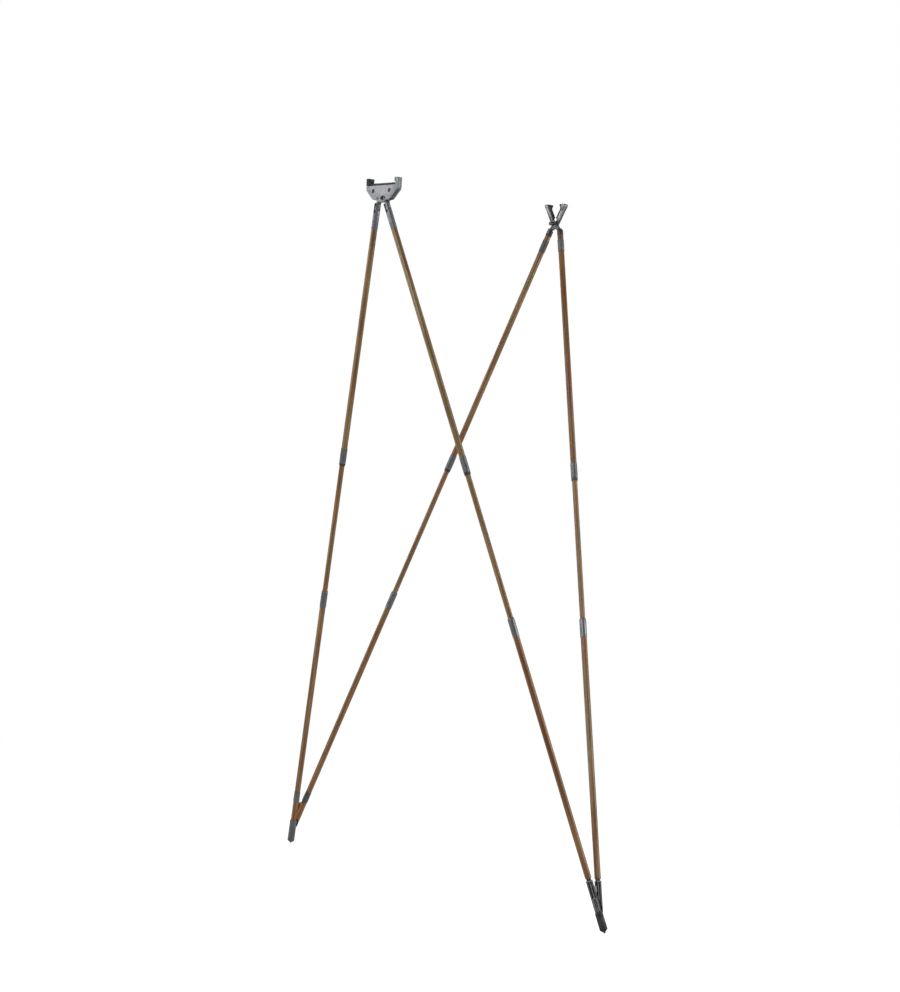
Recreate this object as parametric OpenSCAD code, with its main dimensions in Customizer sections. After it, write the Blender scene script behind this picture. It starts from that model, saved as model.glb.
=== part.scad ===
// Folding field rest on four telescoping legs with two feet: a forked front
// cradle, a scissor rear cradle, and a pointed foot under each pair of legs.
// Millimetres, +Z up, front towards -Y, feet on z = 0.

/* [Stance] */
// Angle of each pair of legs from the upright, seen from the front
spread_angle = 19.5; // [12:0.5:24]
// Distance between the front head's bolts and the rear cross pin
cradle_distance = 490; // [360:5:560]
// Spacing of the two leg bolts in the front head
bolt_spacing = 21; // [20:0.5:28]
// Distance from a leg bolt down to the tilt pin under it
tilt_drop = 24; // [22:0.5:34]

/* [Leg lengths] */
// Tilt pin to the lower end of the lock ring
upper_length = 580; // [480:5:700]
// Length of middle tube in sight at full height
middle_show = 305; // [295:5:400]
// Top of the lower collar to the point of the foot
lower_length = 655; // [520:5:800]
// Length of middle tube left inside the upper tube at full height
middle_overlap = 70; // [40:5:110]

/* [Tubes] */
// Outside diameter of the upper and lower tubes
tube_d = 13; // [12.4:0.1:16]
// Outside diameter of the middle tube
middle_d = 11.2; // [9:0.1:11.4]
// Wall of the middle tube
middle_wall = 0.8; // [0.6:0.1:2]

/* [Collars and bands] */
// Outside diameter of the collars and bands
collar_d = 14.4; // [14.2:0.1:15]
// Length of the upper collar without its lock ring
collar_length = 34; // [28:1:50]
// Outside diameter of the lock ring
ring_d = 13.8; // [13.5:0.1:14.4]
// Length of the lock ring
ring_length = 6; // [5:0.5:12]
// Length of the collar's nose that carries the lock ring
nose_length = 4; // [2.5:0.5:4.5]
// Wall of the collar's nose
nose_wall = 0.6; // [0.4:0.1:0.8]
// Length of the lower collar
lower_collar_length = 40; // [34:1:60]
// Length of middle tube gripped by the lower collar above the lower tube
collar_grip = 14; // [8:1:20]
// Length of the left foot's bands
band_length = 27; // [20:1:36]
// Length of the bands at the top of the rear legs
rear_band_length = 28; // [20:1:36]

/* [Leg tops] */
// Diameter of the front ferrules and rear clevises
ferrule_d = 13.6; // [13.2:0.1:15]
// Front ferrule below its tilt pin
ferrule_length = 43; // [30:1:70]
// Rear clevis below its tilt pin
clevis_length = 3; // [2.8:0.1:12]
// Cheeks of a front ferrule above its tilt pin
ferrule_rise = 13; // [8:0.5:13]
// Cheeks of a rear clevis above its tilt pin
clevis_rise = 10; // [7:0.5:10.5]
// Depth of the slot below the tilt pin
slot_drop = 6.5; // [6:0.1:7]
// Spigot glued into the top of an upper tube
spigot_length = 30; // [15:1:60]
// Wood in sight between a rear clevis and its band
rear_band_drop = 11; // [2:0.5:20]
// Thickness of the tilt tongues
tongue_t = 5.6; // [4:0.1:6.5]
// Width of the tilt tongues
tongue_w = 10; // [8:0.5:12]
// Diameter of the tilt pins
tilt_pin_d = 4; // [3:0.1:5]

/* [Front head] */
// Width over the fork
fork_w = 100; // [84:1:120]
// Thickness of each fork plate
plate_t = 3; // [2:0.1:4]
// Thickness of the leg knuckles between the plates
knuckle_t = 7.6; // [6:0.1:10]
// Radius of a knuckle's eye
knuckle_r = 8.5; // [7:0.1:9.5]
// Height of the prong tips above the leg bolts
prong_top = 42; // [40:0.5:60]
// Height of the front plate's edge above the leg bolts
front_edge = 26.5; // [25.5:0.5:30]
// Height of the rear plate's edge above the leg bolts
rear_edge = 33; // [31.5:0.5:36]
// Height where the sides turn in
shoulder = 17.7; // [14:0.1:20]
// Half width of the lower edge
lower_half_w = 27; // [26:0.5:30]
// Depth of the plates' lower corners below the leg bolts
corner_drop = 3; // [1:0.5:4]
// Half width of the lobe round the leg bolts
lobe_half_w = 14.5; // [14:0.5:18]
// Depth of that lobe below the leg bolts
lobe_drop = 8; // [7:0.5:9]
// Slant of the lobe's sides
lobe_slant = 2; // [1:0.5:4]
// Width of a prong
prong_w = 5; // [4:0.5:8]
// Half spacing of the fork screws
screw_x = 26.5; // [22:0.5:30]
// Height of the fork screws above the leg bolts
screw_z = 15.5; // [14:0.5:18]
// Diameter of the fork screws
screw_d = 5; // [3:0.5:6]
// Diameter of the recess for a screw head
screw_recess_d = 8.6; // [8:0.1:10]
// Diameter of the leg bolts
bolt_d = 6; // [5:0.5:7]
// Length of the left leg bolt's end proud of the front plate
bolt_proud = 0.85; // [0.2:0.05:2]
// Height of the oblong hole in front of the right leg bolt
slot_h = 9.4; // [9.4:0.1:11]
// Length of that hole beyond its round ends
slot_run = 7; // [3:0.5:8]
// Thickness of the saddle pad
saddle_t = 5.5; // [3:0.5:7]
// Thickness of the pads on the prongs
prong_pad_t = 3.5; // [2:0.5:5]

/* [Rear cradle] */
// Lean of a horn from the upright
horn_lean = 31; // [28:1:40]
// Length of a horn above the cross pin
horn_length = 52; // [50:1:80]
// Thickness of a horn seen from the front
horn_w = 9; // [7:0.5:12]
// Inner face of a horn's bar from the line through the cross pin
horn_inner = 3; // [2:0.5:3]
// Depth of a horn from front to back
horn_depth = 14; // [12:0.5:18]
// Height above the cross pin where a horn starts to deepen
horn_split = 36; // [36:1:38]
// Length over which a horn deepens
horn_flare = 8; // [4:1:9]
// Thickness of an arm where the two cross
lap_t = 6; // [4:0.5:6.5]
// Width of an arm around the cross pin
lap_w = 14; // [13:0.5:18]
// Width of an arm's shank above its tilt tongue
shank_w = 9; // [6:0.5:9.5]
// Thickness of the pad inside a horn
horn_pad_t = 4; // [2:0.5:4.5]
// Diameter of the cross pin
cross_pin_d = 5; // [4:0.5:6]
// Room round the cross pin in the rear arm
cross_room = 1.5; // [1.3:0.1:2]

/* [Feet] */
// Height of the foot hinge above the foot's point, along the front leg
hinge_height = 89; // [80:1:110]
// Distance of a rear leg's axis behind the foot hinge
hinge_offset = 18; // [16.5:0.1:20]
// Foot hinge to the lower end of the left bands
band_rise = 22; // [21.5:0.5:34]
// Foot hinge to the top of the right sockets
socket_rise = 19; // [15:0.5:30]
// Outside diameter of the right sockets
socket_d = 13.6; // [12:0.1:13.8]
// Outside diameter of a socket's rim
rim_d = 14.2; // [14:0.1:14.4]
// Height of a socket's rim
rim_h = 2.5; // [1:0.5:5]
// Gap in sight between a right tube and its socket
neck_gap = 4; // [1:0.5:8]
// Diameter of a socket's neck in that gap
neck_d = 9.6; // [8:0.1:11]
// Left rear leg below the foot hinge
left_scarf = 42; // [30:1:43]
// Right rear leg below the foot hinge
right_scarf = 44; // [30:1:45]
// Height of the left hinge tongue's web above the foot hinge
left_web_rise = 19; // [6:0.5:19]
// Height of the right hinge tongue's web above the foot hinge
right_web_rise = 8; // [6:0.5:12]
// Thickness of the hinge tongue
hinge_t = 5; // [3:0.1:6]
// Radius of the hinge tongue's eye
hinge_eye_r = 4.2; // [3.2:0.1:5]
// Diameter of the foot hinge pin
hinge_pin_d = 4; // [3:0.1:4.4]
// Outside diameter of a boot
boot_d = 16.2; // [15.6:0.1:16.6]
// Length of the left boot
left_boot_length = 61; // [46:1:66]
// Length of the right boot
right_boot_length = 42; // [38:1:52]
// Outside diameter of a boot's rim
boot_rim_d = 16.6; // [16.2:0.1:17.4]
// Height of a boot's rim
boot_rim_h = 8; // [3:0.5:12]
// Length of a boot's point
point_length = 7; // [6:1:12]
// Radius of a boot's tip
tip_r = 2; // [1:0.1:3]
// Wall of a boot round the leg
boot_wall = 2.2; // [1.8:0.1:3]
// Depth of leg held in a boot
boot_socket = 26; // [15:1:28]

/* [Clearances] */
// Radial gap of a glued or pressed joint
glue_gap = 0.05; // [0.02:0.01:0.1]
// Radial running gap of the telescoping tubes
slide_gap = 0.1; // [0.05:0.01:0.2]
// Radial running gap of pins and rings
pin_gap = 0.06; // [0.03:0.01:0.1]
// Side gap of tongues, knuckles and lapped arms
side_gap = 0.3; // [0.2:0.05:0.5]
// Room between a rear leg's scarf and the front leg
scarf_gap = 0.5; // [0.3:0.1:1]

/* [Hidden] */
$fn = 64;

LEFT = -1;
RIGHT = 1;
FRONT = -1;
REAR = 1;

WOOD = "saddlebrown";
GREY = "dimgray";
PALE = "silver";
BLACK = [0.12, 0.12, 0.12];
STEEL = "lightsteelblue";

half_cradle = cradle_distance / 2;
half_bolts = bolt_spacing / 2;
leg_length = upper_length + middle_show + lower_length;

// Stations down a leg from its tilt pin
ring_top = upper_length - ring_length;
collar_top = ring_top - collar_length;
tube_seat = 8;
upper_tube_end = ring_top - tube_seat;
middle_top = upper_length - middle_overlap;
lower_collar_top = upper_length + middle_show;
lower_tube_top = lower_collar_top + collar_grip;
lower_collar_end = lower_collar_top + lower_collar_length;
hinge_station = leg_length - hinge_height;
band_end = hinge_station - band_rise;
band_top = band_end - band_length;
band_middle = (band_end + band_top) / 2;
socket_top = hinge_station - socket_rise;
left_boot_top = leg_length - left_boot_length;
right_boot_top = leg_length - right_boot_length;

// Angles of the legs in the plane of each pair
front_lean = asin(half_cradle / hinge_station);
rear_twist = asin(hinge_offset / hinge_station);
rear_lean = front_lean - rear_twist;
rear_hinge_station = hinge_station * cos(rear_twist);
pair_angle = front_lean + rear_lean;
ball_station = leg_length - tip_r;
bolt_height = (tilt_drop + ball_station * cos(front_lean)) * cos(spread_angle) + tip_r;

tube_bore = middle_d + 2 * slide_gap;
spigot_d = tube_bore - 2 * glue_gap;
head_gap = knuckle_t + 2 * side_gap;
head_depth = head_gap + 2 * plate_t;
cut = 1;
big = 200;

// Frame of one pair of legs: origin between its bolt lines, z up the pair
module pair(side) {
  translate([side * half_bolts, 0, bolt_height])
    rotate([0, -side * spread_angle, 0])
      children();
}

// Frame of one leg: origin on its tilt pin, z up the leg
module leg(side, row) {
  lean = row == FRONT ? front_lean : -rear_lean;
  pair(side)
    translate([0, row * half_cradle, -tilt_drop])
      rotate([lean, 0, 0])
        children();
}

// Frame of the front head: origin midway between the leg bolts
module head() {
  translate([0, -half_cradle, bolt_height])
    children();
}

// Flat shape in x and z, given its depth along y
module slab(depth, y = 0) {
  translate([0, y + depth / 2, 0])
    rotate([90, 0, 0])
      linear_extrude(depth)
        children();
}

// Round bar along a leg between two stations
module bar(d, from, to) {
  translate([0, 0, -to])
    cylinder(h = to - from, d = d);
}

// Round hole along a leg between two stations
module bore(d, from, to) {
  translate([0, 0, -to - cut])
    cylinder(h = to - from + 2 * cut, d = d);
}

// Pipe along a leg between two stations
module pipe(outer, inner, from, to) {
  difference() {
    bar(outer, from, to);
    bore(inner, from, to);
  }
}

// Bar across a pair of legs
module cross_bar(d, length) {
  rotate([0, 90, 0])
    cylinder(h = length, d = d, center = true);
}

// Outline of a fork plate with its middle edge at a height
module plate_outline(edge) {
  half = fork_w / 2;
  inner = half - prong_w;
  toe = lobe_half_w - lobe_slant;
  polygon([
    [-half, prong_top], [-inner, prong_top], [-inner, edge],
    [inner, edge], [inner, prong_top], [half, prong_top],
    [half, shoulder], [lower_half_w, -corner_drop], [lobe_half_w, -corner_drop - 1.5],
    [toe, -lobe_drop], [-toe, -lobe_drop],
    [-lobe_half_w, -corner_drop - 1.5], [-lower_half_w, -corner_drop], [-half, shoulder]
  ]);
}

// Round holes for the fork screws
module screw_holes(d) {
  for (side = [LEFT, RIGHT])
    translate([side * screw_x, screw_z])
      circle(d = d);
}

// Oblong hole that shows the right leg bolt and its nut
module nut_slot() {
  for (end = [0, 1])
    translate([half_bolts - end * slot_run, 0])
      circle(d = slot_h);
  translate([half_bolts - slot_run, -slot_h / 2])
    square([slot_run, slot_h]);
}

module fork_front_plate() {
  color(PALE)
    head()
      slab(plate_t, -head_depth / 2 + plate_t / 2)
        difference() {
          plate_outline(front_edge);
          screw_holes(screw_recess_d);
          translate([-half_bolts, 0])
            circle(d = bolt_d + 2 * glue_gap);
          nut_slot();
        }
}

module fork_rear_plate() {
  color(PALE)
    head()
      slab(plate_t, head_depth / 2 - plate_t / 2)
        difference() {
          plate_outline(rear_edge);
          screw_holes(screw_d + 2 * glue_gap);
          for (side = [LEFT, RIGHT])
            translate([side * half_bolts, 0])
              circle(d = bolt_d + 2 * glue_gap);
        }
}

// Shelf under the saddle pad
shelf = front_edge - 1.5;
// Inner end of an arm's shelf
shelf_x = half_bolts + 7;

// Arm that spaces the two plates and fills one side of the fork
module fork_arm(side) {
  half = fork_w / 2;
  inner = half - prong_w;
  foot_z = 2 - corner_drop;
  color(GREY)
    head()
      slab(head_gap)
        difference() {
          scale([side, 1])
            polygon([
              [half, prong_top], [inner, prong_top], [inner, shelf],
              [shelf_x, shelf], [shelf_x, screw_z - 4],
              [lower_half_w + 2, foot_z], [half, shoulder]
            ]);
          screw_holes(screw_d + 2 * glue_gap);
        }
}

module fork_pads() {
  inner = fork_w / 2 - prong_w;
  color(BLACK)
    head() {
      translate([-inner + glue_gap, -head_gap / 2 + glue_gap, shelf])
        cube([2 * (inner - glue_gap), head_gap - 2 * glue_gap, saddle_t]);
      for (side = [LEFT, RIGHT])
        translate([side * (inner - prong_pad_t / 2), 0, (prong_top + rear_edge) / 2])
          cube([prong_pad_t - 2 * glue_gap, head_depth, prong_top - rear_edge], center = true);
    }
}

// Head of a fork screw, sunk in the front plate
module fork_screws() {
  sunk = 1;
  nut_t = 3;
  color(BLACK)
    head()
      for (side = [LEFT, RIGHT])
        translate([side * screw_x, 0, screw_z]) {
          slab(head_depth - sunk + nut_t, (sunk + nut_t) / 2)
            circle(d = screw_d);
          slab(plate_t - sunk, -head_depth / 2 + plate_t / 2 + sunk / 2)
            circle(d = screw_recess_d - 2 * pin_gap);
          slab(nut_t, head_depth / 2 + nut_t / 2)
            circle(d = 8, $fn = 6);
        }
}

// Leg bolts: the left one ends flush in front, the right one in a sunk nut
module fork_bolts() {
  rear_head_t = 3;
  front_nut_t = 2.4;
  color(STEEL)
    head() {
      translate([-half_bolts, 0, 0])
        slab(head_depth + bolt_proud, -bolt_proud / 2)
          circle(d = bolt_d);
      translate([half_bolts, 0, 0]) {
        slab(head_depth - plate_t + front_nut_t, (plate_t - front_nut_t) / 2)
          circle(d = bolt_d);
        slab(front_nut_t, -head_gap / 2 - front_nut_t / 2)
          circle(d = 9.2, $fn = 6);
      }
      for (side = [LEFT, RIGHT])
        translate([side * half_bolts, 0, 0])
          slab(rear_head_t, head_depth / 2 + rear_head_t / 2)
            circle(d = 10, $fn = 6);
    }
}

// Knuckle that swings on a leg bolt and carries the front tilt pin
module front_knuckle(side) {
  shank_top = tilt_drop - ferrule_rise - 2;
  color(GREY)
    pair(side)
      translate([0, -half_cradle, 0])
        difference() {
          union() {
            slab(knuckle_t)
              circle(r = knuckle_r);
            translate([-tongue_t / 2, -knuckle_t / 2, -shank_top])
              cube([tongue_t, knuckle_t, shank_top]);
            translate([-tongue_t / 2, -tongue_w / 2, -tilt_drop])
              cube([tongue_t, tongue_w, tilt_drop - shank_top]);
            translate([0, 0, -tilt_drop])
              cross_bar(tongue_w, tongue_t);
          }
          slab(knuckle_t + 2 * cut)
            circle(d = bolt_d + 2 * pin_gap);
          translate([0, 0, -tilt_drop])
            cross_bar(tilt_pin_d + 2 * pin_gap, tongue_t + 2 * cut);
        }
}

// Slotted top of a leg with its tilt pin hole and its glued spigot
module leg_top(length, rise) {
  difference() {
    union() {
      bar(ferrule_d, -rise, length);
      bar(spigot_d, length - cut, length + spigot_length);
    }
    translate([-tongue_t / 2 - side_gap, -ferrule_d, -slot_drop])
      cube([tongue_t + 2 * side_gap, 2 * ferrule_d, slot_drop + rise + cut]);
    cross_bar(tilt_pin_d + 2 * glue_gap, 2 * ferrule_d);
  }
}

module front_ferrule(side) {
  color(GREY)
    leg(side, FRONT)
      leg_top(ferrule_length, ferrule_rise);
}

module rear_clevis(side) {
  color(BLACK)
    leg(side, REAR)
      leg_top(clevis_length, clevis_rise);
}

// Tilt pin, cut to the round of the leg top
module tilt_pin(side, row) {
  color(STEEL)
    leg(side, row)
      intersection() {
        cross_bar(tilt_pin_d, 2 * ferrule_d);
        bar(ferrule_d + 0.6, -tilt_pin_d, tilt_pin_d);
      }
}

module upper_tube(side, row) {
  top = row == FRONT ? ferrule_length : clevis_length;
  color(WOOD)
    leg(side, row)
      pipe(tube_d, tube_bore, top, upper_tube_end);
}

module rear_top_band(side) {
  top = clevis_length + rear_band_drop;
  color(GREY)
    leg(side, REAR)
      pipe(collar_d, tube_d + 2 * glue_gap, top, top + rear_band_length);
}

nose_d = tube_bore + 2 * nose_wall;

module upper_collar(side, row) {
  color(GREY)
    leg(side, row)
      difference() {
        union() {
          bar(collar_d, collar_top, ring_top);
          bar(nose_d, ring_top - cut, ring_top + nose_length);
        }
        bore(tube_bore, collar_top, ring_top + nose_length);
        translate([0, 0, -upper_tube_end])
          cylinder(h = upper_tube_end - collar_top + cut, d = tube_d + 2 * glue_gap);
      }
}

module lock_ring(side, row) {
  color(BLACK)
    leg(side, row)
      difference() {
        bar(ring_d, ring_top + side_gap, upper_length);
        bore(tube_bore, ring_top, upper_length);
        translate([0, 0, -ring_top - nose_length - side_gap])
          cylinder(h = nose_length + side_gap + cut, d = nose_d + 2 * pin_gap);
      }
}

module middle_tube(side, row) {
  color(WOOD)
    leg(side, row)
      pipe(middle_d, middle_d - 2 * middle_wall, middle_top, lower_collar_end);
}

module lower_collar(side, row) {
  color(GREY)
    leg(side, row)
      difference() {
        bar(collar_d, lower_collar_top, lower_collar_end);
        bore(middle_d + 2 * glue_gap, lower_collar_top, lower_collar_end);
        bore(tube_d + 2 * glue_gap, lower_tube_top + cut, lower_collar_end);
      }
}

module lower_tube(side, row) {
  end = side == LEFT ? band_middle - glue_gap : socket_top - neck_gap;
  color(WOOD)
    leg(side, row)
      pipe(tube_d, tube_bore, lower_tube_top, end);
}

module foot_band(row) {
  color(GREY)
    leg(LEFT, row)
      pipe(collar_d, tube_d + 2 * glue_gap, band_top, band_end);
}

// Spigot of a foot piece, with the neck left in sight under the tube
module foot_spigot(top, neck) {
  bar(spigot_d, top - neck - spigot_length, neck > 0 ? top - neck : top + cut);
  bar(neck_d, top - neck - cut, top + cut);
}

// Solid lower end of a front leg: spigot, body and the part inside the boot
module foot_core(d, top, neck, boot_top, rise) {
  difference() {
    union() {
      foot_spigot(top, neck);
      bar(d, top, boot_top);
      bar(boot_d - 2 * boot_wall - 2 * glue_gap, boot_top - cut, boot_top + boot_socket);
    }
    translate([-hinge_t / 2 - side_gap, -hinge_eye_r - 2 * side_gap, -hinge_station])
      hinge_slot(rise);
    translate([0, 0, -hinge_station])
      cross_bar(hinge_pin_d + 2 * glue_gap, 2 * d);
  }
}

// Room in a front leg for the tongue of the rear leg and its web
module hinge_slot(rise) {
  low = hinge_eye_r + 6;
  translate([0, 0, -low])
    cube([hinge_t + 2 * side_gap, big, low + rise + 2]);
}

module left_front_stub() {
  color(WOOD)
    leg(LEFT, FRONT)
      foot_core(tube_d, band_middle, 0, left_boot_top, left_web_rise);
}

module right_front_socket() {
  color(BLACK)
    leg(RIGHT, FRONT) {
      foot_core(socket_d, socket_top, neck_gap, right_boot_top, right_web_rise);
      bar(rim_d, socket_top, socket_top + rim_h);
    }
}

// Round boot that ends in a point with a ball tip
module boot(side, boot_top) {
  point_top = leg_length - point_length;
  color(BLACK)
    leg(side, FRONT)
      difference() {
        union() {
          bar(boot_d, boot_top, point_top);
          bar(boot_rim_d, boot_top, boot_top + boot_rim_h);
          translate([0, 0, -ball_station])
            cylinder(h = point_length - tip_r, r1 = tip_r, d2 = boot_d);
          translate([0, 0, -ball_station])
            sphere(r = tip_r);
        }
        translate([0, 0, -boot_top - boot_socket])
          cylinder(h = boot_socket + cut, d = boot_d - 2 * boot_wall);
      }
}

module hinge_pin(side) {
  d = side == LEFT ? tube_d : socket_d;
  color(STEEL)
    leg(side, FRONT)
      translate([0, 0, -hinge_station])
        intersection() {
          cross_bar(hinge_pin_d, 2 * d);
          cylinder(h = 4 * hinge_pin_d, d = d + 0.6, center = true);
        }
}

// Space that the front leg and its boot take from the rear leg's end
module scarf_cut(front_d, boot_top) {
  leg_room = front_d / 2 + scarf_gap;
  boot_room = boot_rim_d / 2 + scarf_gap;
  translate([0, -hinge_offset, -rear_hinge_station])
    rotate([pair_angle, 0, 0]) {
      translate([-big / 2, leg_room - big, -big / 2])
        cube([big, big, big]);
      translate([-big / 2, boot_room - big, hinge_station - boot_top + scarf_gap - big])
        cube([big, big, big]);
    }
}

// Tongue from the rear leg to the foot hinge, with a web in the angle of the legs
module tongue(root, rise) {
  back = hinge_offset + root;
  web_front = 3.5 - rise * tan(pair_angle);
  difference() {
    translate([0, -hinge_offset, -rear_hinge_station]) {
      cross_bar(2 * hinge_eye_r, hinge_t);
      translate([-hinge_t / 2, 0, 0])
        rotate([90, 0, 90])
          linear_extrude(hinge_t)
            polygon([
              [0, -hinge_eye_r], [back, -hinge_eye_r], [back, rise], [web_front, rise]
            ]);
    }
    translate([0, -hinge_offset, -rear_hinge_station])
      cross_bar(hinge_pin_d + 2 * pin_gap, 2 * hinge_t);
  }
}

tongue_root = 2;

module left_hinge_tongue() {
  color(WOOD)
    leg(LEFT, REAR)
      tongue(tongue_root, left_web_rise);
}

module left_rear_stub() {
  color(WOOD)
    leg(LEFT, REAR)
      difference() {
        union() {
          foot_spigot(band_middle, 0);
          bar(tube_d, band_middle, rear_hinge_station + left_scarf);
        }
        scarf_cut(tube_d, left_boot_top);
        translate([
          -hinge_t / 2 - glue_gap,
          tongue_root + glue_gap - big,
          -rear_hinge_station - hinge_eye_r - glue_gap
        ])
          cube([hinge_t + 2 * glue_gap, big, hinge_eye_r + left_web_rise + 2 * glue_gap]);
      }
}

module left_rear_band() {
  foot_band(REAR);
}

module right_rear_socket() {
  color(BLACK)
    leg(RIGHT, REAR) {
      difference() {
        union() {
          foot_spigot(socket_top, neck_gap);
          bar(socket_d, socket_top, rear_hinge_station + right_scarf);
          bar(rim_d, socket_top, socket_top + rim_h);
        }
        scarf_cut(socket_d, right_boot_top);
      }
      tongue(tongue_root, right_web_rise);
    }
}

// Place of the cross pin in the frame of a pair
cross_x = half_bolts * cos(spread_angle);
cross_z = half_bolts * sin(spread_angle);

// Frame of a horn: origin on the cross pin, z up the horn
module horn(side) {
  pair(side)
    translate([-side * cross_x, half_cradle, cross_z])
      rotate([0, -side * (horn_lean - spread_angle), 0])
        children();
}

// Layer of an arm where the two lap: the left arm behind, the right in front
function lap_y(side) = -side * (lap_t + side_gap) / 2;

// Bar of a horn from a height above the cross pin, deeper towards its top
module horn_bar(side, low, inner, width) {
  near = lap_y(side) - lap_t / 2;
  far = lap_y(side) + lap_t / 2;
  half = horn_depth / 2;
  flare_top = horn_split + horn_flare;
  top = horn_length - horn_w / 2;
  translate([inner, 0, 0])
    rotate([90, 0, 90])
      linear_extrude(width)
        polygon([
          [near, low], [far, low], [far, horn_split], [half, flare_top],
          [half, top], [-half, top], [-half, flare_top], [near, horn_split]
        ]);
}

module rear_arm(side) {
  shank_top = tilt_drop - clevis_rise - 2;
  shank_run = norm([cross_x, cross_z + shank_top]);
  edge = 0.45 * lap_w / shank_run;
  edge_x = edge * (cross_z + shank_top);
  edge_z = edge * cross_x;
  half_t = tongue_t / 2;
  color(BLACK)
    difference() {
      union() {
        pair(side)
          translate([0, half_cradle, 0]) {
            translate([-tongue_t / 2, -tongue_w / 2, -tilt_drop])
              cube([tongue_t, tongue_w, tilt_drop - shank_top]);
            translate([0, 0, -tilt_drop])
              cross_bar(tongue_w, tongue_t);
            slab(lap_t, lap_y(side))
              scale([side, 1])
                polygon([
                  [-half_t, -shank_top - 2], [half_t, -shank_top - 2], [half_t, -shank_top],
                  [shank_w / 2, -shank_top], [edge_x - cross_x, edge_z + cross_z],
                  [-edge_x - cross_x, cross_z - edge_z], [-shank_w / 2, -shank_top],
                  [-half_t, -shank_top]
                ]);
          }
        horn(side) {
          slab(lap_t, lap_y(side))
            circle(d = lap_w);
          scale([-side, 1, 1]) {
            horn_bar(side, 0, -horn_inner, horn_w);
            translate([horn_w / 2 - horn_inner, 0, horn_length - horn_w / 2])
              slab(horn_depth)
                circle(d = horn_w);
          }
        }
      }
      horn(side)
        slab(2 * horn_depth)
          circle(d = cross_pin_d + 2 * (side == LEFT ? cross_room : glue_gap));
      pair(side)
        translate([0, half_cradle, -tilt_drop])
          cross_bar(tilt_pin_d + 2 * pin_gap, 2 * tongue_t);
    }
}

// Rubber on the inner face of a horn
module horn_pad(side) {
  low = lap_w / 2 + 5;
  color(BLACK)
    horn(side)
      scale([-side, 1, 1])
        horn_bar(side, low, -horn_inner - horn_pad_t, horn_pad_t - glue_gap);
}

module cross_pin() {
  head_d = 12;
  head_t = 1.5;
  lap_depth = 2 * lap_t + side_gap;
  color(STEEL)
    translate([0, half_cradle, bolt_height]) {
      slab(lap_depth + side_gap + head_t, (side_gap + head_t) / 2)
        circle(d = cross_pin_d);
      slab(head_t, -lap_depth / 2 - head_t / 2)
        circle(d = head_d);
      slab(head_t, lap_depth / 2 + side_gap + head_t / 2)
        circle(d = head_d);
    }
}

fork_front_plate();
fork_rear_plate();
fork_arm(LEFT);  // fork_left_arm
fork_arm(RIGHT);  // fork_right_arm
fork_pads();
fork_screws();
fork_bolts();
front_knuckle(LEFT);  // left_front_knuckle
front_knuckle(RIGHT);  // right_front_knuckle
tilt_pin(LEFT, FRONT);  // left_front_tilt_pin
tilt_pin(RIGHT, FRONT);  // right_front_tilt_pin
front_ferrule(LEFT);  // left_front_ferrule
front_ferrule(RIGHT);  // right_front_ferrule
upper_tube(LEFT, FRONT);  // left_front_upper_tube
upper_tube(RIGHT, FRONT);  // right_front_upper_tube
upper_collar(LEFT, FRONT);  // left_front_upper_collar
upper_collar(RIGHT, FRONT);  // right_front_upper_collar
lock_ring(LEFT, FRONT);  // left_front_lock_ring
lock_ring(RIGHT, FRONT);  // right_front_lock_ring
middle_tube(LEFT, FRONT);  // left_front_middle_tube
middle_tube(RIGHT, FRONT);  // right_front_middle_tube
lower_collar(LEFT, FRONT);  // left_front_lower_collar
lower_collar(RIGHT, FRONT);  // right_front_lower_collar
lower_tube(LEFT, FRONT);  // left_front_lower_tube
lower_tube(RIGHT, FRONT);  // right_front_lower_tube
foot_band(FRONT);  // left_front_band
left_front_stub();
right_front_socket();
boot(LEFT, left_boot_top);  // left_boot
boot(RIGHT, right_boot_top);  // right_boot
hinge_pin(LEFT);  // left_hinge_pin
hinge_pin(RIGHT);  // right_hinge_pin
left_rear_stub();
left_hinge_tongue();
left_rear_band();
right_rear_socket();
lower_tube(LEFT, REAR);  // left_rear_lower_tube
lower_tube(RIGHT, REAR);  // right_rear_lower_tube
lower_collar(LEFT, REAR);  // left_rear_lower_collar
lower_collar(RIGHT, REAR);  // right_rear_lower_collar
middle_tube(LEFT, REAR);  // left_rear_middle_tube
middle_tube(RIGHT, REAR);  // right_rear_middle_tube
lock_ring(LEFT, REAR);  // left_rear_lock_ring
lock_ring(RIGHT, REAR);  // right_rear_lock_ring
upper_collar(LEFT, REAR);  // left_rear_upper_collar
upper_collar(RIGHT, REAR);  // right_rear_upper_collar
upper_tube(LEFT, REAR);  // left_rear_upper_tube
upper_tube(RIGHT, REAR);  // right_rear_upper_tube
rear_top_band(LEFT);  // left_rear_top_band
rear_top_band(RIGHT);  // right_rear_top_band
rear_clevis(LEFT);  // left_rear_clevis
rear_clevis(RIGHT);  // right_rear_clevis
tilt_pin(LEFT, REAR);  // left_rear_tilt_pin
tilt_pin(RIGHT, REAR);  // right_rear_tilt_pin
rear_arm(LEFT);  // left_rear_arm
rear_arm(RIGHT);  // right_rear_arm
horn_pad(LEFT);  // left_horn_pad
horn_pad(RIGHT);  // right_horn_pad
cross_pin();
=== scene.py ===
import math

import bmesh
import bpy
from mathutils import Matrix, Vector


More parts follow.
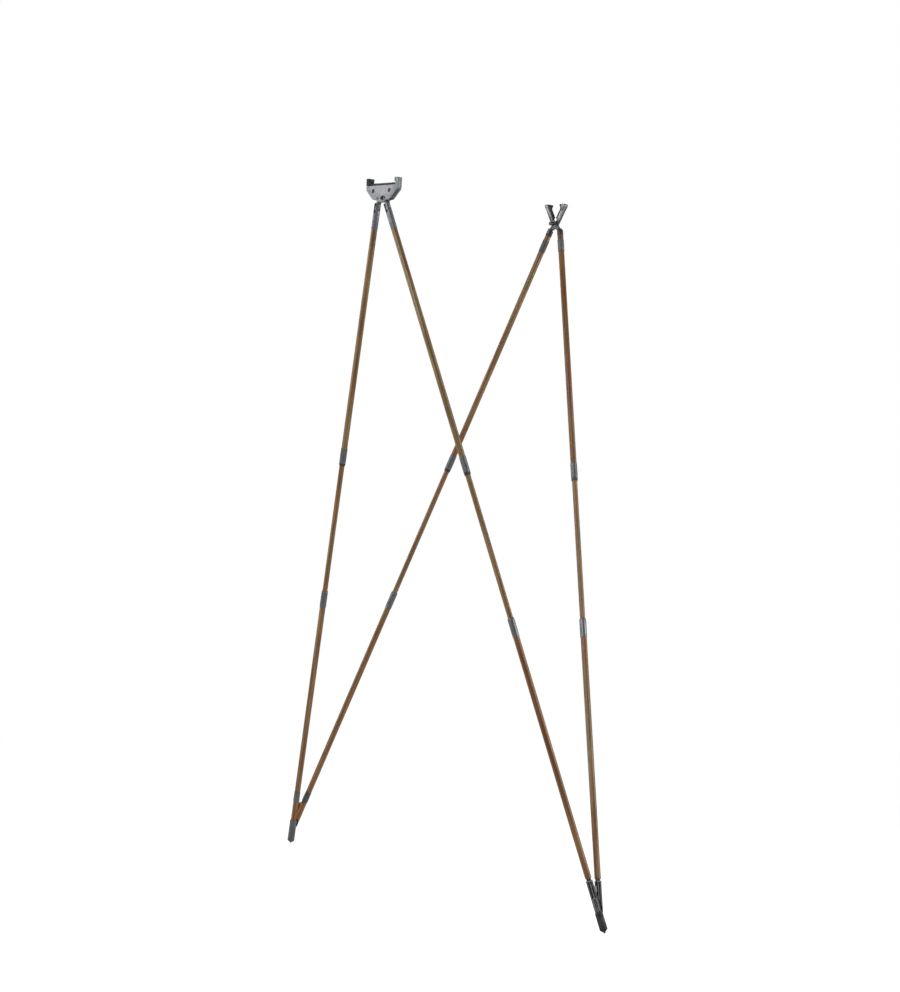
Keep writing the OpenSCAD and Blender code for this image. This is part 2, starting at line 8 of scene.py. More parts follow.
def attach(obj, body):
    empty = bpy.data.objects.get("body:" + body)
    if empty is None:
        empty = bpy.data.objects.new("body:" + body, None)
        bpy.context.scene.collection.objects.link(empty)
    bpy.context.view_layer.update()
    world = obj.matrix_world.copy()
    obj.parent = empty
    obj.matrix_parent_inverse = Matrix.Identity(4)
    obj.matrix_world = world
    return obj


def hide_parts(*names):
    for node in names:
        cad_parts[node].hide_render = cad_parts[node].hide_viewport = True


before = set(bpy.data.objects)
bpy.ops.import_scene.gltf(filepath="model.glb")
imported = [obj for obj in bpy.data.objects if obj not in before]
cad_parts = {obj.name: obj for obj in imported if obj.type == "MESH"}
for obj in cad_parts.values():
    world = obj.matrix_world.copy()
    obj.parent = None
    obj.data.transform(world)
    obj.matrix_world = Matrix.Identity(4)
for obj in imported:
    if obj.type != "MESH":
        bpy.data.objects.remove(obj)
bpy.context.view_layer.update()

MM = 0.001
LEFT, RIGHT, FRONT, REAR = -1, 1, -1, 1
SIDES = {LEFT: "left", RIGHT: "right"}
ROWS = {FRONT: "front", REAR: "rear"}

# Sizes of the solids, in millimetres and radians; a station is a distance down a leg from its tilt pin

LEG = 1540.0  # station of a foot's point
POINT_R = 2.0  # round tip of the point
HINGE = 1451.0  # station of the foot hinge on a front leg
OFFSET = 18.0  # foot hinge ahead of the axis of a rear leg
HALF = 245.0  # from the middle to each cradle
BOLT = 10.5  # from the middle to each leg bolt
DROP = 24.0  # tilt pins below the leg bolts
SPREAD = math.radians(19.5)  # each pair of legs from upright
HORN_LEAN = math.radians(31.0)  # each horn from upright
FOLD = math.radians(17.5)  # travel of a foot hinge
FRONT_LEAN = math.asin(HALF / HINGE)
TWIST = math.asin(OFFSET / HINGE)
REAR_LEAN = FRONT_LEAN - TWIST
PAIR_ANGLE = FRONT_LEAN + REAR_LEAN
REAR_HINGE = HINGE * math.cos(TWIST)
TOP = (DROP + (LEG - POINT_R) * math.cos(FRONT_LEAN)) * math.cos(SPREAD) + POINT_R

TUBE_D, TUBE_BORE = 13.0, 11.4
MIDDLE_D, MIDDLE_BORE = 11.2, 9.6
COLLAR_R, COLLAR_BORE_R = 7.2, 6.55
SPIGOT_R, SPIGOT_LENGTH = 5.65, 30.0
PIN_R, PIN_LENGTH, PIN_BORE_R, PIN_FREE_R = 2.0, 14.2, 2.05, 2.06
FERRULE_R, FERRULE_END, FERRULE_RISE = 6.8, 43.0, 13.0
CLEVIS_END, CLEVIS_RISE = 3.0, 10.0
TOP_BAND, TOP_BAND_END = 14.0, 42.0
UPPER_COLLAR, UPPER_COLLAR_END, UPPER_END = 540.0, 574.0, 566.0
RING, RING_END = 574.3, 580.0
MIDDLE, MIDDLE_END = 510.0, 925.0
LOWER_COLLAR, LOWER = 885.0, 899.0
FOOT_BAND, FOOT_BAND_END, FOOT_JOIN = 1402.0, 1429.0, 1415.5
NECK, SOCKET_TOP, SOCKET_R, SOCKET_RIBS = 1428.0, 1432.0, 6.8, 8
BOOT_TOP = {LEFT: 1479.0, RIGHT: 1498.0}
BOOT_R, BOOT_END_R, BOOT_BORE_R, BOOT_DEPTH, BOOT_ROOM = 7.9, 8.1, 5.9, 26.0, 8.8
POINT = 1533.0  # station where a boot narrows to its point
WEB_RISE = {LEFT: 19.0, RIGHT: 8.0}  # webs of the foot hinges above their pins

# The camera, as solved from the photograph

PHOTO_WIDTH = 900
FOCAL_PIXELS = 2294.382
EYE = Vector((3.74269, -3.22082, 0.95124))
AZIMUTH, ELEVATION, ROLL = (math.radians(v) for v in (49.390, 1.274, 3.594))


def move(x, y, z):
    return Matrix.Translation(Vector((x, y, z)) * MM)


def turn(angle, axis):
    return Matrix.Rotation(angle, 4, axis)


def pair(side):
    """Frame of a pair of legs, at its leg bolt"""
    return move(side * BOLT, 0, TOP) @ turn(-side * SPREAD, "Y")


def leg(side, row):
    """Frame of a leg, at its tilt pin"""
    lean = FRONT_LEAN if row == FRONT else -REAR_LEAN
    return pair(side) @ move(0, row * HALF, -DROP) @ turn(lean, "X")


def head():
    return move(0, -HALF, TOP)


def horn(side):
    """Frame of a horn, at the cross pin"""
    return move(0, HALF, TOP) @ turn(-side * HORN_LEAN, "Y")


# Mesh builders


def fillet(points, steps=4):
    """A closed outline whose corners are rounded where a point carries a radius"""
    out = []
    for i, point in enumerate(points):
        r = point[2] if len(point) > 2 else 0
        corner = Vector(point[:2])
        back = Vector(points[i - 1][:2]) - corner
        ahead = Vector(points[(i + 1) % len(points)][:2]) - corner
        reach = 0.48 * min(back.length, ahead.length)
        back, ahead = back / back.length, ahead / ahead.length
        angle = back.angle(ahead)
        if r <= 0 or angle > math.radians(178):
            out.append(corner)
            continue
        run = min(r / math.tan(angle / 2), reach)
        r = run * math.tan(angle / 2)
        middle = corner + (back + ahead).normalized() * (r / math.sin(angle / 2))
        first, last = corner + back * run - middle, corner + ahead * run - middle
        for k in range(steps + 1):
            out.append(middle + first.lerp(last, k / steps).normalized() * r)
    return out


def lathe(profile, seg=48, closed=True, teeth=0, sharp=1.0):
    """A turned shape from (radius, station, tooth depth); the station runs down the axis"""
    bm = bmesh.new()
    rings = []
    for point in profile:
        deep = point[2] if len(point) > 2 else 0
        z = -point[1] * MM
        if point[0] < 1e-6:
            rings.append([bm.verts.new((0, 0, z))])
            continue
        ring = []
        for i in range(seg):
            a = 2 * math.pi * i / seg
            r = point[0] - deep * (0.5 - 0.5 * math.cos(teeth * a)) ** sharp
            ring.append(bm.verts.new((r * math.cos(a) * MM, r * math.sin(a) * MM, z)))
        rings.append(ring)
    for k in range(len(rings) if closed else len(rings) - 1):
        a, b = rings[k], rings[(k + 1) % len(rings)]
        if len(a) == 1 and len(b) == 1:
            continue
        for i in range(seg):
            j = (i + 1) % seg
            if len(a) == 1:
                bm.faces.new((a[0], b[j], b[i]))
            elif len(b) == 1:
                bm.faces.new((a[i], a[j], b[0]))
            else:
                bm.faces.new((a[i], a[j], b[j], b[i]))
    bmesh.ops.recalc_face_normals(bm, faces=bm.faces)
    return bm


def rod(radius, half, seg=32):
    """A plain cylinder about the axis, for cutting bores and room"""
    return lathe([(0, -half), (radius, -half), (radius, half), (0, half)], seg, False)


def prism(points, depth, y=0.0, bevel=0.4, steps=2):
    """An outline in x and z with a depth along y, its rims rounded"""
    bm = bmesh.new()
    face = bm.faces.new([bm.verts.new((p[0] * MM, (y - depth / 2) * MM, p[1] * MM)) for p in points])
    made = bmesh.ops.extrude_face_region(bm, geom=[face])["geom"]
    bmesh.ops.translate(bm, verts=[g for g in made if isinstance(g, bmesh.types.BMVert)],
                        vec=(0, depth * MM, 0))
    bmesh.ops.recalc_face_normals(bm, faces=bm.faces)
    if bevel:
        rims = [e for e in bm.edges
                if abs(e.verts[0].co.y - e.verts[1].co.y) < 1e-7]
        bmesh.ops.bevel(bm, geom=rims, offset=bevel * MM, segments=steps, profile=0.5,
                        affect="EDGES", clamp_overlap=True)
    return bm


def block(x0, x1, y0, y1, z0, z1):
    """A box, given its faces"""
    return prism(fillet([(x0, z0), (x1, z0), (x1, z1), (x0, z1)]), y1 - y0, (y0 + y1) / 2, 0)


def moved(bm, matrix):
    bmesh.ops.transform(bm, matrix=matrix, verts=bm.verts)
    return bm


def along_x(bm):
    """Lays a turned shape across a leg"""
    return moved(bm, turn(math.pi / 2, "Y"))


def along_y(bm):
    """Lays a turned shape along y, its stations towards the rear"""
    return moved(bm, turn(math.pi / 2, "X"))


def side_on(bm):
    """Turns an outline in x and z into one in y and z"""
    return moved(bm, turn(math.pi / 2, "Z"))


def finish_mesh(mesh, smooth):
    for polygon in mesh.polygons:
        polygon.use_smooth = True
    mesh.set_sharp_from_angle(angle=math.radians(smooth))


def put(name, bm, at, smooth=35):
    """Makes an object of a shape, in the given frame"""
    mesh = bpy.data.meshes.new(name)
    bm.to_mesh(mesh)
    bm.free()
    finish_mesh(mesh, smooth)
    obj = bpy.data.objects.new(name, mesh)
    bpy.context.scene.collection.objects.link(obj)
    obj.matrix_world = at
    return obj


def carve(obj, cuts=(), adds=(), within=(), soften=0.0, smooth=35):
    """Trims, joins and cuts shapes given in the piece's own frame, then rounds its edges"""
    helpers = []
    for kind, shapes in (("INTERSECT", within), ("UNION", adds), ("DIFFERENCE", cuts)):
        for bm in shapes:
            tool = put(obj.name + "_tool", bm, obj.matrix_world)
            mod = obj.modifiers.new("carve", "BOOLEAN")
            mod.operation, mod.solver, mod.object = kind, "EXACT", tool
            helpers.append(tool)
    if soften:
        mod = obj.modifiers.new("soften", "BEVEL")
        mod.width, mod.segments, mod.limit_method = soften * MM, 2, "ANGLE"
        mod.angle_limit = math.radians(40)
    bpy.context.view_layer.update()
    graph = bpy.context.evaluated_depsgraph_get()
    mesh = bpy.data.meshes.new_from_object(obj.evaluated_get(graph))
    obj.modifiers.clear()
    old, obj.data = obj.data, mesh
    bpy.data.meshes.remove(old)
    for tool in helpers:
        shape = tool.data
        bpy.data.objects.remove(tool)
        bpy.data.meshes.remove(shape)
    finish_mesh(mesh, smooth)
    return obj


def wear(obj, look, body, slot, *nodes):
    """Gives a piece its finish, its body and the solids it stands for"""
    grain_along_leg = slot in ("wood", "grey_metal", "black_plastic") and look not in (ARM, FERRULE)
    if not grain_along_leg:
        obj.data.transform(obj.matrix_world)
        obj.matrix_world = Matrix()
    obj.data.materials.clear()
    obj.data.materials.append(look)
    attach(obj, body)
    if nodes:
        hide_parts(*nodes)


def build(node, shape, at, look, body, slot, cuts=(), adds=(), smooth=35):
    """Makes, carves and finishes the piece that stands for one node"""
    obj = put(f"{node}_piece", shape, at, smooth)
    if cuts or adds:
        carve(obj, cuts, adds, smooth=smooth)
    wear(obj, look, body, slot, node)


# Materials


def srgb(r, g, b):
    def one(v):
        v /= 255
        return v / 12.92 if v <= 0.04045 else ((v + 0.055) / 1.055) ** 2.4
    return (one(r), one(g), one(b), 1)


class Look:
    """A Principled material whose colour, roughness and bump come from noise"""

    def __init__(self, name, **fixed):
        self.mat = bpy.data.materials.new(name)
        self.mat.use_nodes = True
        self.tree = self.mat.node_tree
        self.tree.nodes.clear()
        out = self.node("ShaderNodeOutputMaterial")
        self.bsdf = self.node("ShaderNodeBsdfPrincipled")
        self.tree.links.new(self.bsdf.outputs[0], out.inputs["Surface"])
        for key, value in fixed.items():
            self.bsdf.inputs[key.replace("_", " ")].default_value = value
        self.coord = self.node("ShaderNodeTexCoord").outputs["Object"]

    def node(self, kind, **props):
        n = self.tree.nodes.new(kind)
        for key, value in props.items():
            setattr(n, key, value)
        return n

    def feed(self, socket, value):
        if hasattr(value, "is_linked"):
            self.tree.links.new(value, socket)
        else:
            socket.default_value = value

    def xyz(self):
        """The three parts of the piece's own coordinates"""
        n = self.node("ShaderNodeSeparateXYZ")
        self.feed(n.inputs[0], self.coord)
        return n.outputs[0], n.outputs[1], n.outputs[2]

    def noise(self, scale, offset, detail, rough, twist=0.0):
        place = self.node("ShaderNodeMapping")
        place.inputs["Scale"].default_value = scale
        place.inputs["Location"].default_value = offset
        self.feed(place.inputs["Vector"], self.coord)
        n = self.node("ShaderNodeTexNoise")
        n.inputs["Scale"].default_value = 1
        n.inputs["Detail"].default_value = detail
        n.inputs["Roughness"].default_value = rough
        n.inputs["Distortion"].default_value = twist
        self.feed(n.inputs["Vector"], place.outputs[0])
        return n.outputs["Fac"]

    def ramp(self, value, *stops):
        n = self.node("ShaderNodeValToRGB")
        e = n.color_ramp.elements
        e[0].position, e[0].color = stops[0]
        e[1].position, e[1].color = stops[-1]
        for at, colour in stops[1:-1]:
            e.new(at).color = colour
        self.feed(n.inputs[0], value)
        return n.outputs[0]

    def spread(self, value, low, high, to_low, to_high):
        n = self.node("ShaderNodeMapRange")
        for i, v in enumerate((value, low, high, to_low, to_high)):
            self.feed(n.inputs[i], v)
        return n.outputs[0]

    def mix(self, amount, a, b, kind="MIX"):
        n = self.node("ShaderNodeMix", data_type="RGBA", blend_type=kind)
        self.feed(n.inputs[0], amount)
        self.feed(n.inputs[6], a)
        self.feed(n.inputs[7], b)
        return n.outputs[2]

    def math(self, kind, a, b=0.0):
        n = self.node("ShaderNodeMath", operation=kind)
        self.feed(n.inputs[0], a)
        self.feed(n.inputs[1], b)
        return n.outputs[0]

    def blend(self, a, b, share):
        """A weighted sum of two values, with a share of the first"""
        return self.math("ADD", self.math("MULTIPLY", a, share), self.math("MULTIPLY", b, 1 - share))

    def edges(self, amount):
        """Where the surface turns a corner, for wear"""
        bend = self.node("ShaderNodeNewGeometry").outputs["Pointiness"]
        return self.math("MULTIPLY", self.spread(bend, 0.52, 0.6, 0, 1), amount)

    def surface(self, colour, rough, height, strength, depth):
        self.feed(self.bsdf.inputs["Base Color"], colour)
        self.feed(self.bsdf.inputs["Roughness"], rough)
        n = self.node("ShaderNodeBump")
        n.inputs["Strength"].default_value = strength
        n.inputs["Distance"].default_value = depth
        self.feed(n.inputs["Height"], height)
        self.feed(self.bsdf.inputs["Normal"], n.outputs[0])
        return self.mat


def wood(name, seed, tone=1.0, red=0.0, top=0.0):
    """Lacquered wood grain that runs along the tube, redder near the top of a leg if asked"""
    look = Look(name, Coat_Weight=0.25, Coat_Roughness=0.22, IOR=1.45, Specular_IOR_Level=0.25)
    shift = (seed * 3.1, seed * 1.7, seed * 0.9)

    def tint(r, g, b):
        return [v * tone for v in srgb(r, g, b)[:3]] + [1]

    broad = look.noise((260, 260, 7), shift, 3, 0.5, 0.6)
    fine = look.noise((1000, 1000, 18), shift, 5, 0.6, 0.3)
    patch = look.noise((110, 110, 5.5), shift, 3, 0.55)
    olive = look.ramp(broad, (0.30, tint(80, 60, 33)), (0.44, tint(106, 84, 52)),
                      (0.56, tint(118, 96, 61)), (0.72, tint(142, 119, 82)))
    russet = look.ramp(broad, (0.28, tint(80, 46, 22)), (0.5, tint(120, 76, 42)),
                       (0.75, tint(140, 102, 62)))
    base = look.mix(look.spread(patch, 0.5 - red, 0.6 - red, 0, 0.9), olive, russet)
    if top:
        ruddy = look.ramp(broad, (0.3, tint(84, 49, 33)), (0.7, tint(124, 79, 54)))
        base = look.mix(look.spread(look.xyz()[2], -0.06, -0.016, 0, top), base, ruddy)
    streak = look.ramp(fine, (0.32, srgb(124, 118, 110)), (0.5, srgb(188, 187, 184)),
                       (0.7, srgb(222, 221, 216)))
    colour = look.mix(0.6, base, streak, "OVERLAY")
    pores = look.noise((2600, 2600, 70), shift, 2, 0.5)
    colour = look.mix(look.spread(pores, 0.62, 0.72, 0, 0.4), colour, tint(56, 38, 22))
    rough = look.spread(fine, 0.3, 0.7, 0.48, 0.36)
    height = look.math("ADD", fine, look.spread(pores, 0.6, 0.72, 0, -0.8))
    return look.surface(colour, rough, height, 0.12, 0.0002)


def metal(name, dark, mid, light, worn, metallic, rough, lines=(1400, 1400, 30), depth=0.04, edge=0.3):
    """Metal with fine drawn lines, cloudy tarnish and paler worn edges"""
    look = Look(name, Metallic=metallic)
    grain = look.noise(lines, (2, 5, 1), 4, 0.6)
    cloud = look.noise((70, 70, 45), (7, 1, 3), 4, 0.55)
    mixed = look.blend(grain, cloud, 0.35)
    colour = look.ramp(mixed, (0.34, srgb(*dark)), (0.5, srgb(*mid)), (0.68, srgb(*light)))
    colour = look.mix(look.edges(edge), colour, srgb(*worn))
    return look.surface(colour, look.spread(mixed, 0.35, 0.65, rough + 0.06, rough - 0.05),
                        grain, depth, 0.0001)


def blasted(name, dark, mid, light, worn, metallic, rough):
    """Bead-blasted plate with faint rubbed marks"""
    look = Look(name, Metallic=metallic)
    speck = look.noise((2200, 2200, 2200), (1, 2, 3), 3, 0.6)
    cloud = look.noise((55, 55, 55), (4, 9, 2), 4, 0.55)
    rub = look.noise((900, 300, 60), (3, 3, 8), 3, 0.5, 0.8)
    mixed = look.blend(speck, cloud, 0.35)
    colour = look.ramp(mixed, (0.36, srgb(*dark)), (0.5, srgb(*mid)), (0.64, srgb(*light)))
    colour = look.mix(look.spread(rub, 0.66, 0.76, 0, 0.35), colour, srgb(*worn))
    colour = look.mix(look.edges(0.55), colour, srgb(*worn))
    return look.surface(colour, look.spread(mixed, 0.36, 0.64, rough + 0.08, rough - 0.06),
                        speck, 0.05, 0.0002)


def moulded(name, dark, mid, light, rough, grain=1800, depth=0.25, dust=0.25, gloss=0.5):
    """Moulded plastic or rubber with a fine grain and a little dust"""
    look = Look(name, IOR=1.48, Specular_IOR_Level=gloss)
    fine = look.noise((grain, grain, grain), (5, 2, 9), 4, 0.6)
    cloud = look.noise((90, 90, 60), (1, 8, 4), 4, 0.6)
    mixed = look.blend(fine, cloud, 0.3)
    colour = look.ramp(mixed, (0.35, srgb(*dark)), (0.5, srgb(*mid)), (0.68, srgb(*light)))
    colour = look.mix(look.edges(dust), colour, srgb(*[c + 30 for c in light]))
    return look.surface(colour, look.spread(cloud, 0.35, 0.65, rough + 0.08, rough - 0.08),
                        fine, depth, 0.0003)


def ribs_look(name, groove, ridge_highlight, rim):
    """Moulded plastic with painted shade in the grooves along it, a patchy painted highlight on its ridges
    and a painted highlight on its rim
    """
    rim_from, rim_to = 0.007, 0.00708
    look = Look(name, IOR=1.48, Specular_IOR_Level=0.25)
    x, y = look.xyz()[:2]
    around = look.math("MULTIPLY", look.math("ARCTAN2", y, x), float(SOCKET_RIBS))
    wave = look.math("COSINE", around)
    across = look.math("ADD", look.math("POWER", x, 2.0), look.math("POWER", y, 2.0))
    across = look.math("POWER", across, 0.5)
    fine = look.noise((1800, 1800, 500), (5, 2, 9), 4, 0.6)
    cloud = look.noise((160, 160, 90), (1, 8, 4), 4, 0.6)
    # Grooves are painted near black as shade and ridges light grey as highlight, by the angle around the
    # socket
    low = look.ramp(cloud, (0.35, srgb(*groove)), (0.68, srgb(*[c + 12 for c in groove])))
    high = look.ramp(cloud, (0.35, srgb(*[c - 18 for c in ridge_highlight])), (0.68, srgb(*ridge_highlight)))
    ridge_highlight_mask = look.math("MULTIPLY", look.spread(wave, 0.2, 0.95, 0, 1),
                        look.spread(fine, 0.35, 0.6, 0.55, 1))
    colour = look.mix(ridge_highlight_mask, low, high)
    # The outer rim at the socket's top is painted light as a highlight
    colour = look.mix(look.spread(across, rim_from, rim_to, 0, 0.9), colour, srgb(*rim))
    return look.surface(colour, look.spread(cloud, 0.35, 0.65, 0.5, 0.34), fine, 0.25, 0.0003)


def horn_look(name):
    """Arm coloured by height: black below the crossing, partly its black coat and partly painted shade under
    the horn, and grey above it
    """
    coat_and_shade_to, grey_from = 1.461, 1.472
    look = Look(name, Metallic=0.4)
    grain = look.noise((500, 500, 500), (2, 5, 1), 4, 0.6)
    cloud = look.noise((140, 140, 90), (7, 1, 3), 4, 0.55)
    level = look.math("ADD", look.xyz()[2], look.spread(cloud, 0.3, 0.7, -0.004, 0.004))
    coat_and_shade = look.ramp(cloud, (0.35, srgb(24, 24, 26)), (0.7, srgb(48, 48, 51)))
    grey_above = look.ramp(cloud, (0.35, srgb(92, 93, 96)), (0.7, srgb(128, 129, 132)))
    # Black below the crossing stands partly for the coat and partly for painted shade under the horn; grey
    # above
    colour = look.mix(look.spread(level, coat_and_shade_to, grey_from, 0, 1), coat_and_shade, grey_above)
    colour = look.mix(look.edges(0.3), colour, srgb(120, 120, 124))
    return look.surface(colour, look.spread(grain, 0.35, 0.65, 0.44, 0.32), grain, 0.12, 0.0002)


def woods(ending, *legs):
    """A wood for each leg, from its side, row, seed, tone, redness and redness near the top"""
    return {(side, row): wood(f"wood_{SIDES[side]}_{ROWS[row]}{ending}", *values)
            for side, row, *values in legs}


WOOD = woods("", (LEFT, FRONT, 1.0, 1.0, -0.02), (LEFT, REAR, 2.0, 0.98, 0.02, 0.5),
             (RIGHT, FRONT, 3.0, 0.97, -0.06), (RIGHT, REAR, 4.0, 0.8, 0.05, 0.75))
WOOD_MIDDLE = woods("_middle", (LEFT, FRONT, 5.0, 1.06, 0.03), (LEFT, REAR, 6.0, 0.98, 0.06),
                    (RIGHT, FRONT, 7.0, 0.92, 0.03), (RIGHT, REAR, 8.0, 1.0, -0.03))
WOOD_LOWER = woods("_lower", (LEFT, FRONT, 9.0, 1.0, 0.05), (LEFT, REAR, 10.0, 0.98, 0.08),
                   (RIGHT, FRONT, 11.0, 0.86, 0.1), (RIGHT, REAR, 14.0, 0.94, 0.01))
WOOD_FOOT = wood("wood_left_foot", 13.0, 1.0, 0.2)
# The foot wood at 1.7 times its tone for the recessed web: painted light that lifts the shade between the
# stubs
WOOD_WEB_PAINTED_LIGHT = wood("wood_left_web_painted_light", 15.0, 1.7, 0.2)

EVEN = (500, 500, 500)  # grain with no direction
PALE = blasted("pale_metal_blasted", (116, 117, 122), (123, 124, 129), (130, 131, 136), (150, 151, 155),
               0.15, 0.55)
COLLAR = {
    LEFT: metal("grey_metal_dark", (80, 81, 84), (92, 93, 96), (106, 107, 110), (118, 119, 122),
                0.6, 0.4, depth=0.02, edge=0.12),
    RIGHT: metal("grey_metal_drawn", (86, 87, 89), (99, 100, 102), (112, 113, 115), (126, 127, 129),
                 0.75, 0.4, depth=0.01, edge=0.15),
}
FERRULE = metal("grey_metal_ferrule", (86, 88, 91), (100, 102, 105), (114, 116, 119), (130, 131, 134),
                0.72, 0.42, (500, 500, 60), 0.01, 0.15)
BAND = metal("grey_metal_dull", (80, 81, 82), (91, 92, 93), (103, 104, 105), (116, 117, 118),
             0.4, 0.52, depth=0.02, edge=0.1)
BAND_DARK = metal("grey_metal_dull_dark", (63, 62, 64), (72, 71, 73), (84, 82, 85), (98, 97, 99),
                  0.4, 0.52, depth=0.02, edge=0.1)
ARM = metal("grey_metal_arm", (60, 65, 66), (72, 77, 78), (89, 93, 94), (124, 129, 130),
            0.5, 0.42, (900, 900, 26))
BLACK_METAL = metal("black_metal_coated", (26, 26, 28), (38, 38, 40), (54, 54, 57), (84, 84, 87),
                    0.3, 0.36, (700, 700, 700), 0.16)
STEEL = metal("steel_turned", (62, 62, 64), (78, 78, 81), (98, 98, 101), (120, 120, 124),
              0.8, 0.34, EVEN, 0.08)
PIN = metal("steel_dull", (44, 42, 40), (60, 57, 54), (78, 74, 70), (96, 92, 88),
            0.7, 0.42, EVEN, 0.08)
BRONZE = metal("steel_browned", (62, 42, 26), (84, 56, 34), (104, 72, 46), (112, 80, 54),
               0.3, 0.5, EVEN, 0.08)
# Ribbed sockets: painted shade in the grooves, painted highlight on the ridges and the rim
SOCKET_PAINTED_LIGHT = ribs_look("black_plastic_ribbed_painted_light", (5, 5, 6), (124, 125, 122), (122, 123, 122))
# Horn look with painted shade on its black shank below the crossing
HORN_SHADED_BELOW = horn_look("black_metal_horn_shaded_below")
CAP = moulded("black_plastic_cap", (50, 54, 58), (68, 73, 78), (90, 95, 100), 0.42)
PLASTIC = moulded("black_plastic_moulded", (20, 20, 21), (30, 30, 31), (48, 48, 49), 0.34)
RUBBER = moulded("rubber_pads", (16, 16, 17), (25, 25, 27), (38, 38, 40), 0.7, 2600, 0.4, 0.15)
BOOT = {
    LEFT: moulded("boot_rubber_left", (62, 63, 64), (80, 81, 82), (96, 97, 98), 0.55, 2200, 0.3),
    RIGHT: moulded("boot_rubber_right", (24, 24, 25), (42, 42, 43), (66, 66, 67), 0.5, 2200, 0.3,
                   gloss=0.25),
}

# Fork head, in a frame midway between its leg bolts

PRONG_OUT, PRONG_IN, PRONG_TOP = 50, 45, 42
SHOULDER, SHOULDER_ROUND = 17.7, 9
SEAT = 25
PLATE_EDGE = {FRONT: 26.5, REAR: 33}  # upper edges of the plates between the prongs
PLATE_THICK, PLATE_Y, ARM_THICK = 3, 5.6, 8.2
PLATE_FACE = PLATE_Y + PLATE_THICK / 2
SCREW_X, SCREW_Z = 26.5, 15.5
SCREW_BORE, SCREW_HEAD_BORE, BOLT_BORE = 5.1, 8.6, 6.1
SLOT_R, SLOT_END = 4.7, 3.5
PAD_OUT, PAD_IN, PAD_GROOVE_X, PAD_LOW, PAD_HIGH = 44.95, 41.55, 42.2, 33.05, 41.95
SADDLE_TOP, SADDLE_GROOVE, SADDLE_EDGE, SADDLE_REACH = 30.5, 29.7, 29.8, 44.2


def plate_outline(edge):
    """Outline of a fork plate"""
    right = [(PRONG_IN, PRONG_TOP, 1.2), (PRONG_OUT, PRONG_TOP, 1.6), (PRONG_OUT, SHOULDER, SHOULDER_ROUND),
             (27, -3, 5), (14.5, -4.5, 2), (12.5, -8, 3)]
    left = [(-x, z, r) for x, z, r in reversed(right)]
    return fillet([(-PRONG_IN, edge, 1.0), (PRONG_IN, edge, 1.0)] + right + left, steps=6)


def hole(diameter, x, z, flare=0.0):
    """A cutter along y through a fork plate, opened a little at its mouths"""
    r, reach = diameter / 2, 12
    profile = [(0, -reach), (r + flare + 5, -reach), (r + flare, -PLATE_FACE), (r, flare - PLATE_FACE),
               (r, PLATE_FACE - flare), (r + flare, PLATE_FACE), (r + flare + 5, reach), (0, reach)]
    return moved(along_y(lathe(profile, 32, False)), move(x, 0, z))


def slot_cut():
    """A cutter for the slot with round ends about the right bolt"""
    outline = []
    for middle, start in ((BOLT, -90), (SLOT_END, 90)):
        for k in range(13):
            a = math.radians(start + 15 * k)
            outline.append((middle + SLOT_R * math.cos(a), SLOT_R * math.sin(a)))
    return prism(outline, 24, 0, 0)


plate_cuts = {
    FRONT: [hole(SCREW_HEAD_BORE, side * SCREW_X, SCREW_Z, 0.4) for side in SIDES]
    + [hole(BOLT_BORE, -BOLT, 0, 0.3), slot_cut()],
    REAR: [hole(SCREW_BORE, side * SCREW_X, SCREW_Z) for side in SIDES]
    + [hole(BOLT_BORE, side * BOLT, 0) for side in SIDES],
}
for row, where in ROWS.items():
    shape = prism(plate_outline(PLATE_EDGE[row]), PLATE_THICK, row * PLATE_Y, 0.45, 3)
    build(f"fork_{where}_plate", shape, head(), PALE, "head", "pale_metal", plate_cuts[row])

for side, hand in SIDES.items():
    outline = [(PRONG_OUT, PRONG_TOP, 1.6), (PRONG_IN, PRONG_TOP, 1.2), (PRONG_IN, SEAT, 1.0),
               (17.5, SEAT, 1.5), (17.5, 11.5, 1.5), (29, -1, 1.5), (PRONG_OUT, SHOULDER, SHOULDER_ROUND)]
    outline = fillet([(side * x, z, r) for x, z, r in outline], steps=6)
    shape = prism(outline, ARM_THICK, 0, 0.6, 3)
    bore = hole(SCREW_BORE, side * SCREW_X, SCREW_Z)
    build(f"fork_{hand}_arm", shape, head(), ARM, "head", "grey_metal", [bore])


def ribbed(start, end, step, high, low):
    """Points along a pad's face with shallow grooves across it"""
    points = []
    count = max(1, round((end - start) / step))
    wide = (end - start) / count
    for k in range(count):
        a = start + (end - start) * k / count
        points += [(a + 0.08 * wide, low), (a + 0.25 * wide, high),
                   (a + 0.75 * wide, high), (a + 0.92 * wide, low)]
    return points


saddle = [(-PAD_OUT, SEAT + 0.02), (PAD_OUT, SEAT + 0.02), (PAD_OUT, SADDLE_EDGE)]
saddle += reversed(ribbed(-SADDLE_REACH, SADDLE_REACH, 4.2, SADDLE_TOP, SADDLE_GROOVE))
saddle += [(-PAD_OUT, SADDLE_EDGE)]
pad = put("fork_saddle_pad_piece", prism(saddle, 8.1, 0, 0.5), head(), 50)
adds = []
for side in SIDES:
    inner = ribbed(PAD_LOW + 0.35, PAD_HIGH - 0.35, 2.7, PAD_IN, PAD_GROOVE_X)
    outline = [(PAD_OUT, PAD_LOW), (PAD_OUT, PAD_HIGH), (PAD_GROOVE_X, PAD_HIGH)]
    outline += [(x, z) for z, x in reversed(inner)] + [(PAD_GROOVE_X, PAD_LOW)]
    adds.append(prism([(side * x, z) for x, z in outline], 14.1, 0, 0.6))
# The left pad laps over the front of its prong
lap = fillet([(-PRONG_OUT, 27.2, 0.6), (-42.4, 27.2, 0.6), (-42.4, 41.9, 1.2), (-PRONG_OUT, 41.9, 1.4)])
adds.append(prism(lap, 0.75, -7.5, 0.2))
carve(pad, adds=adds, smooth=50)
wear(pad, RUBBER, "head", "rubber", "fork_pads")


